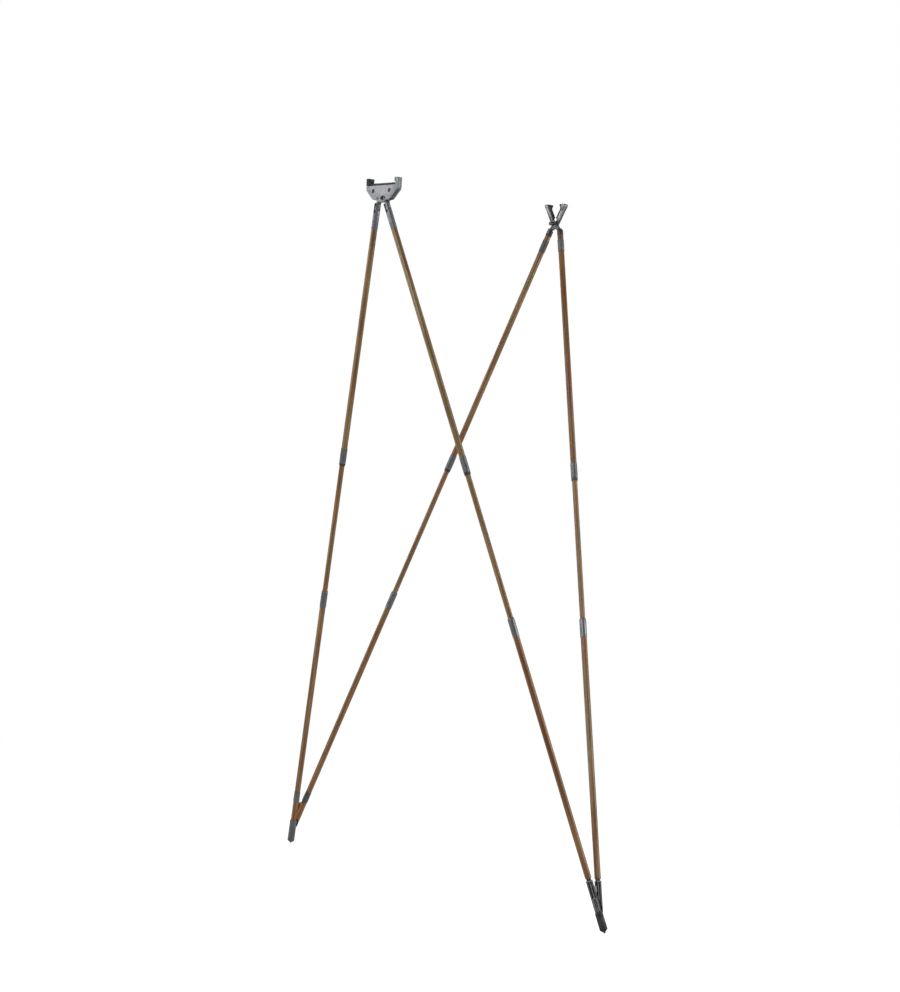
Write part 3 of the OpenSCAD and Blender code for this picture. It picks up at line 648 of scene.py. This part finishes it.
def hexagon(width, turned=0.0):
    """Outline of a nut or a socket, given its width over the corners"""
    corners = [math.radians(60 * k + turned) for k in range(6)]
    return [(width / 2 * math.cos(a), width / 2 * math.sin(a)) for a in corners]


screw = [(0, -6.1), (3.2, -6.1), (4.0, -5.8), (4.24, -5.2), (4.24, -4.1), (2.5, -4.1), (2.5, 9.8),
         (2.1, 10.1), (0, 10.1)]
adds, cuts = [], []
for side in SIDES:
    place = move(side * SCREW_X, 0, SCREW_Z)
    adds.append(moved(along_y(lathe(screw, 40, False)), place))
    adds.append(moved(prism(hexagon(8), 2.98, 8.6, 0.35), place))
    cuts.append(moved(prism(hexagon(4.2, 20), 2.8, -5.9, 0), place))
build("fork_screws", adds[0], head(), BLACK_METAL, "head", "black_metal", cuts, adds[1:])

left_bolt = [(0, -7.5), (2.2, -7.4), (2.8, -7.1), (3, -6.7), (3, PLATE_FACE), (0, PLATE_FACE)]
right_bolt = [(0, -6.7), (2.2, -6.7), (3, -6.2), (3, PLATE_FACE), (0, PLATE_FACE)]
shape = moved(along_y(lathe(left_bolt, 40, False)), move(-BOLT, 0, 0))
adds = [moved(along_y(lathe(right_bolt, 40, False)), move(BOLT, 0, 0)),
        moved(prism(hexagon(9.2, 12), 2.4, -5.3, 0.35), move(BOLT, 0, 0))]
for side in SIDES:
    adds.append(moved(prism(hexagon(10, 15), 3, 8.55, 0.5), move(side * BOLT, 0, 0)))
build("fork_bolts", shape, head(), STEEL, "head", "steel", adds=adds)

# Legs

TONGUE_R, TONGUE_THICK = 5.0, 5.6  # tongues on the tilt pins
KNUCKLE_R, KNUCKLE_HALF = 8.5, 3.8


def leg_pin(length):
    """A pin across a leg with domed ends"""
    half, dome = length / 2, 0.3
    end = [(0, half), (0.5 * PIN_R, half - 0.08 * dome), (0.85 * PIN_R, half - 0.5 * dome),
           (PIN_R, half - 1.3 * dome)]
    return along_x(lathe([(r, -z) for r, z in end] + end[::-1], 32, False))


def tongue_outline(top, neck, step):
    """Outline in y and z of a tongue with a round end on its tilt pin"""
    angles = [math.radians(15 * k) for k in range(13)]
    tip = [(-TONGUE_R * math.cos(a), -DROP - TONGUE_R * math.sin(a)) for a in angles]
    left = [(-neck, top), (-neck, step + 1.2), (-TONGUE_R, step)]
    return left + tip + [(-y, z) for y, z in reversed(left)]


def leg_top(name, length, rise, at):
    """Slotted top of a leg with its spigot"""
    profile = [(0, -rise), (5.2, -rise), (6.3, 0.4 - rise), (6.7, 1.2 - rise), (FERRULE_R, 2.4 - rise),
               (FERRULE_R, length - 1.2), (6.7, length - 0.4), (6.4, length), (SPIGOT_R, length),
               (SPIGOT_R, length + SPIGOT_LENGTH - 2), (5.2, length + SPIGOT_LENGTH),
               (0, length + SPIGOT_LENGTH)]
    top = put(name, lathe(profile, 64, False), at)
    slot = block(-3.1, 3.1, -14, 14, -6.5, 15)
    return carve(top, [slot, along_x(rod(PIN_BORE_R, 12))], soften=0.3)


def tube(outer, inner, start, end, chamfer=0.5):
    """A hollow tube with its outer rims broken"""
    r = outer / 2
    rim = [(r - chamfer, 0), (r - 0.15, 0.35 * chamfer), (r, chamfer)]
    profile = [(x, start + z) for x, z in rim] + [(x, end - z) for x, z in reversed(rim)]
    return lathe(profile + [(inner / 2, end), (inner / 2, start)], 64)


def fluted(above, start, end, below):
    """A turned collar with shallow flutes between two stations"""
    flutes, deep = 22, 0.07
    rim = [(0, 0), (0.5, deep * 0.6), (1.2, deep)]
    body = [(COLLAR_R, start + z, d) for z, d in rim] + [(COLLAR_R, end - z, d) for z, d in reversed(rim)]
    return lathe(above + body + below, flutes * 8, True, flutes, 1.6)


def facing(at):
    """Angle about a leg that looks towards the camera"""
    local = at.inverted() @ EYE
    return math.atan2(local.y, local.x)


def dimple(at, station, radius):
    """Cutter for a small set-screw hole in the visible side of a leg"""
    return moved(along_x(rod(radius, 4, 24)), turn(facing(at), "Z") @ move(10.4, 0, -station))


def upper_collar():
    top, end, lip = UPPER_COLLAR, UPPER_COLLAR_END, UPPER_COLLAR_END + 4
    above = [(COLLAR_BORE_R, top), (6.85, top), (7.1, top + 0.3), (COLLAR_R, top + 0.9)]
    below = [(COLLAR_R, end - 1), (7.1, end - 0.4), (6.8, end), (6.3, end), (6.3, lip),
             (TUBE_BORE / 2, lip), (TUBE_BORE / 2, UPPER_END), (COLLAR_BORE_R, UPPER_END)]
    return fluted(above, top + 2.5, end - 3.5, below)


def lower_collar():
    top, end = LOWER_COLLAR, MIDDLE_END
    above = [(SPIGOT_R, top), (6.1, top), (6.6, top + 0.4), (7.0, top + 1.4), (COLLAR_R, top + 2.8)]
    below = [(COLLAR_R, end - 1), (7.1, end - 0.4), (6.85, end), (COLLAR_BORE_R, end),
             (COLLAR_BORE_R, LOWER), (SPIGOT_R, LOWER)]
    return fluted(above, top + 4, end - 4, below)


def lock_ring():
    """A knurled ring at the end of an upper collar"""
    knurls, deep, step = 36, 0.28, RING_END - 1.7
    profile = [(6.36, RING), (6.6, RING), (6.85, RING + 0.3), (6.9, RING + 0.7, deep),
               (6.9, RING_END - 1.1, deep), (6.75, RING_END - 0.5), (6.4, RING_END),
               (TUBE_BORE / 2, RING_END), (TUBE_BORE / 2, step), (6.36, step)]
    return lathe(profile, knurls * 6, True, knurls)


def top_band():
    half = [(COLLAR_BORE_R, 0), (6.9, 0), (7.1, 0.2), (COLLAR_R, 0.6)]
    return lathe([(r, TOP_BAND + z) for r, z in half] + [(r, TOP_BAND_END - z) for r, z in half[::-1]], 64)


def foot_band():
    """A band that swells towards the foot"""
    top, end = FOOT_BAND, FOOT_BAND_END
    profile = [(COLLAR_BORE_R, top), (6.7, top), (6.82, top + 0.4), (6.9, top + 1.5), (6.92, top + 9),
               (7.05, top + 15), (COLLAR_R, top + 18), (COLLAR_R, top + 22), (7.0, top + 25),
               (6.75, end - 0.3), (6.6, end), (COLLAR_BORE_R, end)]
    return lathe(profile, 64)


for side, hand in SIDES.items():
    at = pair(side) @ move(0, -HALF, 0)
    rim = [(3.06, 3.4), (3.4, KNUCKLE_HALF), (7.9, KNUCKLE_HALF), (8.3, 3.65), (KNUCKLE_R, 3.2)]
    disc = [(r, -z) for r, z in rim] + rim[::-1]
    shank = side_on(prism(tongue_outline(-5.5, 3.75, -9), TONGUE_THICK, 0, 0.35))
    bore = moved(along_x(rod(PIN_FREE_R, 9)), move(0, 0, -DROP))
    build(f"{hand}_front_knuckle", along_y(lathe(disc, 64)), at, ARM, f"{hand}_knuckle", "grey_metal",
          [bore], [shank])

    for row, where in ROWS.items():
        name = f"{hand}_{where}"
        upper, lower = f"{name}_upper", f"{name}_lower"
        at = leg(side, row)
        build(f"{name}_tilt_pin", leg_pin(PIN_LENGTH), at, PIN, upper, "steel")
        if row == FRONT:
            start = FERRULE_END
            ferrule = leg_top(f"{name}_ferrule_piece", FERRULE_END, FERRULE_RISE, at)
            wear(ferrule, FERRULE, upper, "grey_metal", f"{name}_ferrule")
        else:
            start = CLEVIS_END
            clevis = leg_top(f"{name}_clevis_piece", CLEVIS_END, CLEVIS_RISE, at)
            wear(clevis, PLASTIC, upper, "black_plastic", f"{name}_clevis")
            look = BAND if side == RIGHT else BAND_DARK
            cuts = [dimple(at, TOP_BAND_END - 1.8, 1.5)] if side == RIGHT else []
            build(f"{name}_top_band", top_band(), at, look, upper, "grey_metal", cuts)

        shape = tube(TUBE_D, TUBE_BORE, start, UPPER_END)
        build(f"{name}_upper_tube", shape, at, WOOD[side, row], upper, "wood")
        cuts = [dimple(at, UPPER_COLLAR_END - 2.8, 1.6)] if side == RIGHT else []
        build(f"{name}_upper_collar", upper_collar(), at, COLLAR[side], upper, "grey_metal", cuts, smooth=30)
        build(f"{name}_lock_ring", lock_ring(), at, PLASTIC, f"{name}_ring", "black_plastic", smooth=30)
        shape = tube(MIDDLE_D, MIDDLE_BORE, MIDDLE, MIDDLE_END, 0.3)
        build(f"{name}_middle_tube", shape, at, WOOD_MIDDLE[side, row], lower, "wood")
        build(f"{name}_lower_collar", lower_collar(), at, COLLAR[side], lower, "grey_metal", smooth=30)
        if side == LEFT:
            shape = tube(TUBE_D, TUBE_BORE, LOWER, FOOT_JOIN - 0.05)
        else:
            shape = tube(TUBE_D, TUBE_BORE, LOWER, NECK, 1.6)
        build(f"{name}_lower_tube", shape, at, WOOD_LOWER[side, row], lower, "wood")
        if side == LEFT:
            look = BAND if row == FRONT else BAND_DARK
            build(f"{name}_band", foot_band(), at, look, lower, "grey_metal")

# Feet

WEB_THICK, WEB_EYE_R = 5.0, 4.2
LEG_ROOM = {LEFT: 7.0, RIGHT: 7.3}  # scarfs of the rear legs from the axis of the front leg
STUB_REACH, CAP_LENGTH, SOCKET_REACH = 42.0, 22.0, 44.0  # ends of the rear legs past the foot hinge
CHEEK_HALF, CHEEK_ROOM, FOLD_ROOM_R = 5.3, 2.6, 6.8
BOSS, BOSS_REACH, RIVET = 1481.0, 9.0, 1489.0
RIB_DEPTH = 1.3


def spigot(join):
    """Profile of the end that sits in a lower tube"""
    start = join - SPIGOT_LENGTH
    return [(0, start), (5.2, start), (SPIGOT_R, start + 1), (SPIGOT_R, join)]


def boot_core(top):
    """Profile of the end that sits in a boot"""
    end = top + BOOT_DEPTH - 0.5
    return [(TUBE_BORE / 2, top), (TUBE_BORE / 2, end), (0, end)]


def foot_core(side, profile, name, seg=64, teeth=0, adds=()):
    """Solid lower end of a front leg with room for the tongue of the rear leg"""
    core = put(name, lathe(profile, seg, False, teeth, 0.7), leg(side, FRONT))
    slot = block(-2.8, 2.8, -4.8, 40, -HINGE - 10.2, -HINGE + WEB_RISE[side] + 2)
    return carve(core, [slot, moved(along_x(rod(PIN_BORE_R, 12)), move(0, 0, -HINGE))], adds)


def hinge_place(angle):
    """The front leg's direction at the foot hinge, in the frame of a rear leg"""
    return move(0, -OFFSET, -REAR_HINGE) @ turn(angle, "X")


def scarf(side):
    """Cutters that trim the end of a rear leg beside the front leg and its boot"""
    place = hinge_place(PAIR_ANGLE)
    boot_drop = BOOT_TOP[side] - HINGE
    return [moved(block(-40, 40, LEG_ROOM[side] - 90, LEG_ROOM[side], -120, 120), place),
            moved(block(-40, 40, BOOT_ROOM - 90, BOOT_ROOM, -120, 0.5 - boot_drop), place)]


def tongue(side):
    """Tongue from a rear leg to the foot hinge, with its web in the angle of the legs"""
    rise = WEB_RISE[side]
    front = 3.5 - rise * math.tan(PAIR_ANGLE)
    high = 0.6 * math.degrees(math.atan2(front, rise + WEB_EYE_R))
    angles = [math.radians(150 - high + k * (120 + high) / 10) for k in range(11)]
    outline = [(2, rise - REAR_HINGE), (front - OFFSET, rise - REAR_HINGE)]
    outline += [(WEB_EYE_R * math.cos(a) - OFFSET, WEB_EYE_R * math.sin(a) - REAR_HINGE) for a in angles]
    return side_on(prism(outline + [(2, -REAR_HINGE - WEB_EYE_R)], WEB_THICK, 0, 0.3))


def tongue_bore():
    return moved(along_x(rod(PIN_FREE_R, 9)), move(0, -OFFSET, -REAR_HINGE))


def boot(side):
    """Round boot that swells a little towards its short point"""
    top, bottom = BOOT_TOP[side], BOOT_TOP[side] + BOOT_DEPTH
    lip, waist = BOOT_R + 0.15, BOOT_R - 0.2
    low, high = top + 9.6, POINT - 1.6
    profile = [(0, bottom), (BOOT_BORE_R - 0.05, bottom), (BOOT_BORE_R, bottom - 0.5), (BOOT_BORE_R, top),
               (BOOT_R - 0.4, top), (BOOT_R, top + 0.4), (lip, top + 1.2), (lip, top + 7.4),
               (BOOT_R, top + 8), (waist, top + 8.4), (waist, top + 9), (BOOT_R, low)]
    for k in range(1, 6):
        profile.append((BOOT_R + (BOOT_END_R - BOOT_R) * k / 5, low + (high - low) * k / 5))
    profile += [(8.05, POINT - 0.8), (7.85, POINT - 0.1), (7.5, POINT + 0.4), (2.2, LEG - 2.4)]
    for angle in (80, 60, 40, 20):
        a = math.radians(angle)
        profile.append((POINT_R * math.sin(a), LEG - POINT_R + POINT_R * math.cos(a)))
    shape = lathe(profile + [(0, LEG)], 64, False)
    hand = SIDES[side]
    build(f"{hand}_boot", shape, leg(side, FRONT), BOOT[side], f"{hand}_front_lower", "boot_rubber")


def hinge_pin(side, length, look):
    shape = moved(leg_pin(length), move(0, 0, -HINGE))
    hand = SIDES[side]
    build(f"{hand}_hinge_pin", shape, leg(side, FRONT), look, f"{hand}_front_lower", "steel")


# Left front stub, its boot and pin
end = BOOT_TOP[LEFT]
stub = spigot(FOOT_JOIN) + [(TUBE_D / 2, FOOT_JOIN), (TUBE_D / 2, end)] + boot_core(end)
obj = foot_core(LEFT, stub, "left_front_stub_piece")
wear(obj, WOOD_FOOT, "left_front_lower", "wood", "left_front_stub")
boot(LEFT)
hinge_pin(LEFT, PIN_LENGTH - 0.6, BRONZE)

# Left rear stub with its dark end, and the tongue
at = leg(LEFT, REAR)
end = REAR_HINGE + STUB_REACH
cap_top = end - CAP_LENGTH
web_top = WEB_RISE[LEFT] - REAR_HINGE
stub = spigot(FOOT_JOIN) + [(TUBE_D / 2, FOOT_JOIN), (TUBE_D / 2, cap_top), (0, cap_top)]
stub_piece = put("left_rear_stub_piece", lathe(stub, 64, False), at)
carve(stub_piece, scarf(LEFT))
# Flat cheeks that fill the angle beside the front stub and clear it as the legs fold together
room = []
for k in range(4):
    place = hinge_place(PAIR_ANGLE - FOLD * k / 3)
    room.append(moved(rod(FOLD_ROOM_R, 60, 64), place))
    room.append(moved(block(-40, 40, -90, CHEEK_ROOM, -60, 60), place))
cheeks = put("left_foot_cheeks", block(-CHEEK_HALF, CHEEK_HALF, -OFFSET, 0.5, -cap_top, web_top), at)
carve(cheeks, scarf(LEFT)[1:] + room)
cheeks_mesh = bmesh.new()
cheeks_mesh.from_mesh(cheeks.data)
bpy.data.objects.remove(cheeks)
web_room = block(-2.55, 2.55, -30, 2.05, -REAR_HINGE - WEB_EYE_R - 0.05, web_top + 0.05)
carve(stub_piece, [web_room], [cheeks_mesh])
wear(stub_piece, WOOD_FOOT, "left_rear_lower", "wood", "left_rear_stub")
cap = [(0, cap_top + 0.05), (6.3, cap_top + 0.05), (6.5, cap_top + 0.4), (6.5, end - 1), (6.1, end),
       (0, end)]
obj = carve(put("left_rear_end_cap", lathe(cap, 64, False), at), scarf(LEFT))
wear(obj, CAP, "left_rear_lower", "black_plastic")
# The tongue wears the lightened foot wood, painted light against the shade it sits in
build("left_hinge_tongue", tongue(LEFT), at, WOOD_WEB_PAINTED_LIGHT, "left_rear_lower", "wood", [tongue_bore()])


def ribbed_socket(end):
    """Profile of a black socket down to the end of its ribs"""
    top = SOCKET_TOP
    neck = [(4.8, NECK), (4.8, top - 0.4), (5.2, top), (SOCKET_R, top), (7.05, top + 0.3), (7.1, top + 0.8),
            (7.1, top + 2), (6.9, top + 2.6), (SOCKET_R, top + 3.2)]
    return spigot(NECK) + neck + [(SOCKET_R, top + 4.5, 0.8), (SOCKET_R, top + 8, RIB_DEPTH),
                                  (SOCKET_R, end, RIB_DEPTH)]


def oval(half, reach):
    """Outline of an upright slot shape in x and z"""
    points = []
    for k in range(32):
        a = 2 * math.pi * (k + 0.5) / 32
        points.append((half * math.cos(a), math.copysign(reach, math.sin(a)) + half * math.sin(a)))
    return points


# Right front socket with its oval boss, its boot and pin
to_side = turn(facing(leg(RIGHT, FRONT)) + math.pi / 2, "Z")
boss = moved(prism(oval(4.9, BOSS_REACH), 4.2, -5.8, 0.4, 2), to_side @ move(0, 0, -BOSS))
sunk = moved(prism(oval(3.1, BOSS_REACH), 2, -7.7, 0), to_side @ move(0, 0, -BOSS))
rivet = [(0, -7.2), (0.7, -7.2), (0.8, -7.7), (1.5, -7.7), (1.9, -7.3), (1.9, -4), (0, -4)]
rivet = moved(along_y(lathe(rivet, 32, False)), to_side @ move(0, 0, -RIVET))
end = BOOT_TOP[RIGHT]
socket = ribbed_socket(end - 12) + [(SOCKET_R, end - 4, 0.4), (SOCKET_R, end)] + boot_core(end)
obj = foot_core(RIGHT, socket, "right_front_socket_piece", SOCKET_RIBS * 16, SOCKET_RIBS, [boss])
carve(obj, [sunk])
carve(obj, adds=[rivet])
wear(obj, SOCKET_PAINTED_LIGHT, "right_front_lower", "black_plastic", "right_front_socket")
boot(RIGHT)
hinge_pin(RIGHT, PIN_LENGTH, PIN)

# Right rear socket with its tongue
end = REAR_HINGE + SOCKET_REACH
socket = ribbed_socket(end - 12) + [(SOCKET_R, end - 6, 0.4), (6.7, end - 1), (6.4, end), (0, end)]
shape = lathe(socket, SOCKET_RIBS * 16, False, SOCKET_RIBS, 0.7)
obj = put("right_rear_socket_piece", shape, leg(RIGHT, REAR))
carve(obj, scarf(RIGHT))
carve(obj, [tongue_bore()], [tongue(RIGHT)])
wear(obj, SOCKET_PAINTED_LIGHT, "right_rear_lower", "black_plastic", "right_rear_socket")

# Rear scissor cradle

HORN_TOP, HORN_HALF_TOP, HORN_HALF, HORN_LAP = 51.9, 7.0, 3.0, 3.15
HORN_SWELL, HORN_SWELL_END = 36.0, 44.0
HORN_INSIDE, HORN_THICK = -3.0, 9.0
HORN_PAD, HORN_PAD_TOP, HORN_PAD_FACE, HORN_PAD_GROOVE = 12.0, 47.4, 7.0, 6.3
SHANK_TOP = 12.0
CROSS_PIN_R = 2.5
CROSS_PLAY = {LEFT: 1.5, RIGHT: 0.05}
cross_x = BOLT * math.cos(SPREAD)
cross_z = BOLT * math.sin(SPREAD)
edge = 6.3 / math.hypot(cross_x, cross_z + SHANK_TOP)
edge_x, edge_z = edge * (cross_z + SHANK_TOP), edge * cross_x


def horn_bar(side, low, inner, width, bevel):
    """Bar of a horn that deepens towards its top, in the horn's frame"""
    front, back = -side * HORN_LAP - HORN_HALF, -side * HORN_LAP + HORN_HALF
    outline = [(front, low), (back, low), (back, HORN_SWELL), (HORN_HALF_TOP, HORN_SWELL_END),
               (HORN_HALF_TOP, HORN_TOP), (-HORN_HALF_TOP, HORN_TOP), (-HORN_HALF_TOP, HORN_SWELL_END),
               (front, HORN_SWELL)]
    return side_on(prism(outline, width, side * (inner + width / 2), bevel, 2))


def horn_pad_outline(out):
    """Outline of a horn pad with grooves across its face"""
    face = ribbed(HORN_PAD + 0.4, HORN_PAD_TOP - 0.4, 3.2, -HORN_PAD_FACE, -HORN_PAD_GROOVE)
    outline = [(-3.05, HORN_PAD), (-3.05, HORN_PAD_TOP), (-HORN_PAD_GROOVE, HORN_PAD_TOP)]
    outline += [(x, z) for z, x in reversed(face)] + [(-HORN_PAD_GROOVE, HORN_PAD)]
    return [(out * x, z) for x, z in outline]


for side, hand in SIDES.items():
    at = horn(side)
    out = -side
    lap = out * HORN_LAP
    arm = put(f"{hand}_rear_arm_piece", horn_bar(side, 0, HORN_INSIDE, HORN_THICK, 0.6), at)
    near, far = out * HORN_INSIDE, out * (HORN_INSIDE + HORN_THICK)
    rounded = fillet([(near, -20), (far, -20), (far, HORN_TOP, 4.4), (near, HORN_TOP, 4.4)], steps=10)
    carve(arm, within=[prism(rounded, 30, 0, 0)])
    to_pair = at.inverted() @ pair(side) @ move(0, HALF, 0)
    shank = [(-2.8, -14), (2.8, -14), (2.8, -SHANK_TOP), (4.5, -SHANK_TOP),
             (edge_x - cross_x, edge_z + cross_z), (-edge_x - cross_x, cross_z - edge_z),
             (-4.5, -SHANK_TOP), (-2.8, -SHANK_TOP)]
    hub = lathe([(0, -3), (6.6, -3), (7, -2.6), (7, 2.6), (6.6, 3), (0, 3)], 48, False)
    adds = [along_y(moved(hub, move(0, 0, -lap))),
            moved(side_on(prism(tongue_outline(-10.5, 4.6, -SHANK_TOP), TONGUE_THICK, 0, 0.35)), to_pair),
            moved(prism([(side * x, z) for x, z in shank], 6, lap, 0.3), to_pair)]
    groove = fillet([(out * 4.9, 14, 0.5), (out * 8, 14), (out * 8, 47), (out * 4.9, 47, 0.5)])
    cuts = [prism(groove, 2.6, lap, 0),
            along_y(rod(CROSS_PIN_R + CROSS_PLAY[side], 16)),
            moved(along_x(rod(PIN_FREE_R, 9)), to_pair @ move(0, 0, -DROP))]
    carve(arm, cuts, adds)
    wear(arm, HORN_SHADED_BELOW, f"{hand}_rear_arm", "black_metal", f"{hand}_rear_arm")

    pad = put(f"{hand}_horn_pad_piece", horn_bar(side, HORN_PAD, -7, 3.95, 0.5), at, 50)
    carve(pad, within=[prism(horn_pad_outline(out), 30, 0, 0)], smooth=50)
    wear(pad, RUBBER, f"{hand}_rear_arm", "rubber", f"{hand}_horn_pad")

pin = [(0, -7.65), (2.5, -7.55), (4.2, -7.1), (4.9, -6.7), (5.0, -6.4), (4.9, -6.15), (CROSS_PIN_R, -6.15),
       (CROSS_PIN_R, 6.45), (4.9, 6.45), (5.0, 6.7), (4.9, 7.0), (4.2, 7.4), (2.5, 7.85), (0, 7.95)]
shape = along_y(lathe(pin, 48, False))
build("cross_pin", shape, move(0, HALF, TOP), BLACK_METAL, "right_rear_arm", "steel")

# Floor, light and camera

WHITE = (1, 1, 1, 1)
FLOOR_REACH = 40.0
FADE_FROM, FADE_TO = 0.8, 2.2  # metres from the middle of the floor
SENSOR = 36


def add_node(tree, kind, operation=None, **sockets):
    """A new node with some of its sockets set"""
    n = tree.nodes.new(kind)
    if operation:
        n.operation = operation
    for key, value in sockets.items():
        n.inputs[key.replace("_", " ")].default_value = value
    return n


def link(tree, *pairs):
    for source, target in pairs:
        tree.links.new(source, target)


def stage_floor():
    """Pale paper that fades into the white backdrop away from the feet"""
    mesh = bpy.data.meshes.new("floor")
    corners = [(x * FLOOR_REACH, y * FLOOR_REACH, 0) for x, y in ((-1, -1), (1, -1), (1, 1), (-1, 1))]
    mesh.from_pydata(corners, [], [(0, 1, 2, 3)])
    obj = bpy.data.objects.new("floor", mesh)
    bpy.context.scene.collection.objects.link(obj)
    mat = bpy.data.materials.new("floor_paper")
    mat.use_nodes = True
    tree = mat.node_tree
    tree.nodes.clear()
    out = add_node(tree, "ShaderNodeOutputMaterial")
    paper = add_node(tree, "ShaderNodeBsdfDiffuse")
    noise = add_node(tree, "ShaderNodeTexNoise", Scale=6)
    ramp = add_node(tree, "ShaderNodeValToRGB")
    ramp.color_ramp.elements[0].color = (0.68, 0.68, 0.68, 1)
    ramp.color_ramp.elements[1].color = (0.74, 0.74, 0.74, 1)
    pale = add_node(tree, "ShaderNodeBsdfDiffuse", Color=(0.5, 0.5, 0.5, 1))
    lift = add_node(tree, "ShaderNodeEmission", Color=WHITE, Strength=0.6)
    white = add_node(tree, "ShaderNodeEmission", Color=WHITE, Strength=1.0)
    near = add_node(tree, "ShaderNodeAddShader")
    fade = add_node(tree, "ShaderNodeMixShader")
    mix = add_node(tree, "ShaderNodeMixShader")
    seen = add_node(tree, "ShaderNodeLightPath")
    place = add_node(tree, "ShaderNodeTexCoord")
    away = add_node(tree, "ShaderNodeVectorMath", "LENGTH")
    reach = add_node(tree, "ShaderNodeMapRange", From_Min=FADE_FROM, From_Max=FADE_TO)
    link(tree,
         (noise.outputs["Fac"], ramp.inputs[0]), (ramp.outputs[0], paper.inputs["Color"]),
         (place.outputs["Object"], away.inputs[0]), (away.outputs["Value"], reach.inputs[0]),
         (pale.outputs[0], near.inputs[0]), (lift.outputs[0], near.inputs[1]),
         (reach.outputs[0], fade.inputs[0]), (near.outputs[0], fade.inputs[1]),
         (white.outputs[0], fade.inputs[2]), (seen.outputs["Is Camera Ray"], mix.inputs[0]),
         (paper.outputs[0], mix.inputs[1]), (fade.outputs[0], mix.inputs[2]),
         (mix.outputs[0], out.inputs["Surface"]))
    mesh.materials.append(mat)


def studio_world():
    """White backdrop whose light is weaker from the viewing side"""
    world = bpy.data.worlds.new("studio")
    bpy.context.scene.world = world
    world.use_nodes = True
    tree = world.node_tree
    tree.nodes.clear()
    out = add_node(tree, "ShaderNodeOutputWorld")
    white = add_node(tree, "ShaderNodeBackground", Color=WHITE, Strength=1.0)
    soft = add_node(tree, "ShaderNodeBackground", Color=WHITE)
    rays = add_node(tree, "ShaderNodeLightPath")
    seen = add_node(tree, "ShaderNodeMath", "MAXIMUM")
    mix = add_node(tree, "ShaderNodeMixShader")
    way = add_node(tree, "ShaderNodeTexCoord")
    toward = add_node(tree, "ShaderNodeVectorMath", "DOT_PRODUCT")
    toward.inputs[1].default_value = (0.75, -0.64, 0.15)
    level = add_node(tree, "ShaderNodeMapRange", From_Min=0.25, From_Max=0.92, To_Min=0.5, To_Max=0.2)
    link(tree,
         (way.outputs["Generated"], toward.inputs[0]), (toward.outputs["Value"], level.inputs[0]),
         (level.outputs[0], soft.inputs["Strength"]), (rays.outputs["Is Camera Ray"], seen.inputs[0]),
         (rays.outputs["Is Transmission Ray"], seen.inputs[1]), (seen.outputs[0], mix.inputs[0]),
         (soft.outputs[0], mix.inputs[1]), (white.outputs[0], mix.inputs[2]),
         (mix.outputs[0], out.inputs["Surface"]))


def lamp(name, at, aim, size, power):
    data = bpy.data.lights.new(name, "AREA")
    data.shape = "RECTANGLE"
    data.size, data.size_y = size
    data.energy = power
    obj = bpy.data.objects.new(name, data)
    bpy.context.scene.collection.objects.link(obj)
    obj.location = at
    obj.rotation_euler = (Vector(aim) - Vector(at)).to_track_quat("-Z", "Y").to_euler()


stage_floor()
studio_world()
lamp("key", (1.0, -4.3, 3.0), (0, 0, 0.85), (2.2, 2.2), 107)
lamp("right_strip", (3.6, 2.6, 1.7), (0, 0, 0.8), (0.6, 3.0), 130)
lamp("left_strip", (-3.2, -3.2, 1.6), (0, 0, 0.8), (0.6, 3.0), 75)
lamp("back", (-3.2, 2.6, 2.6), (0, 0, 0.8), (2.0, 2.0), 45)

lens = bpy.data.cameras.new("camera")
lens.sensor_fit = "HORIZONTAL"
lens.sensor_width = SENSOR
lens.lens = FOCAL_PIXELS / PHOTO_WIDTH * SENSOR
lens.clip_end = 200
camera = bpy.data.objects.new("camera", lens)
bpy.context.scene.collection.objects.link(camera)
aim = turn(AZIMUTH, "Z") @ turn(math.pi / 2 - ELEVATION, "X") @ turn(ROLL, "Z")
camera.matrix_world = Matrix.Translation(EYE) @ aim
bpy.context.scene.camera = camera
bpy.context.scene.view_settings.view_transform = "Standard"
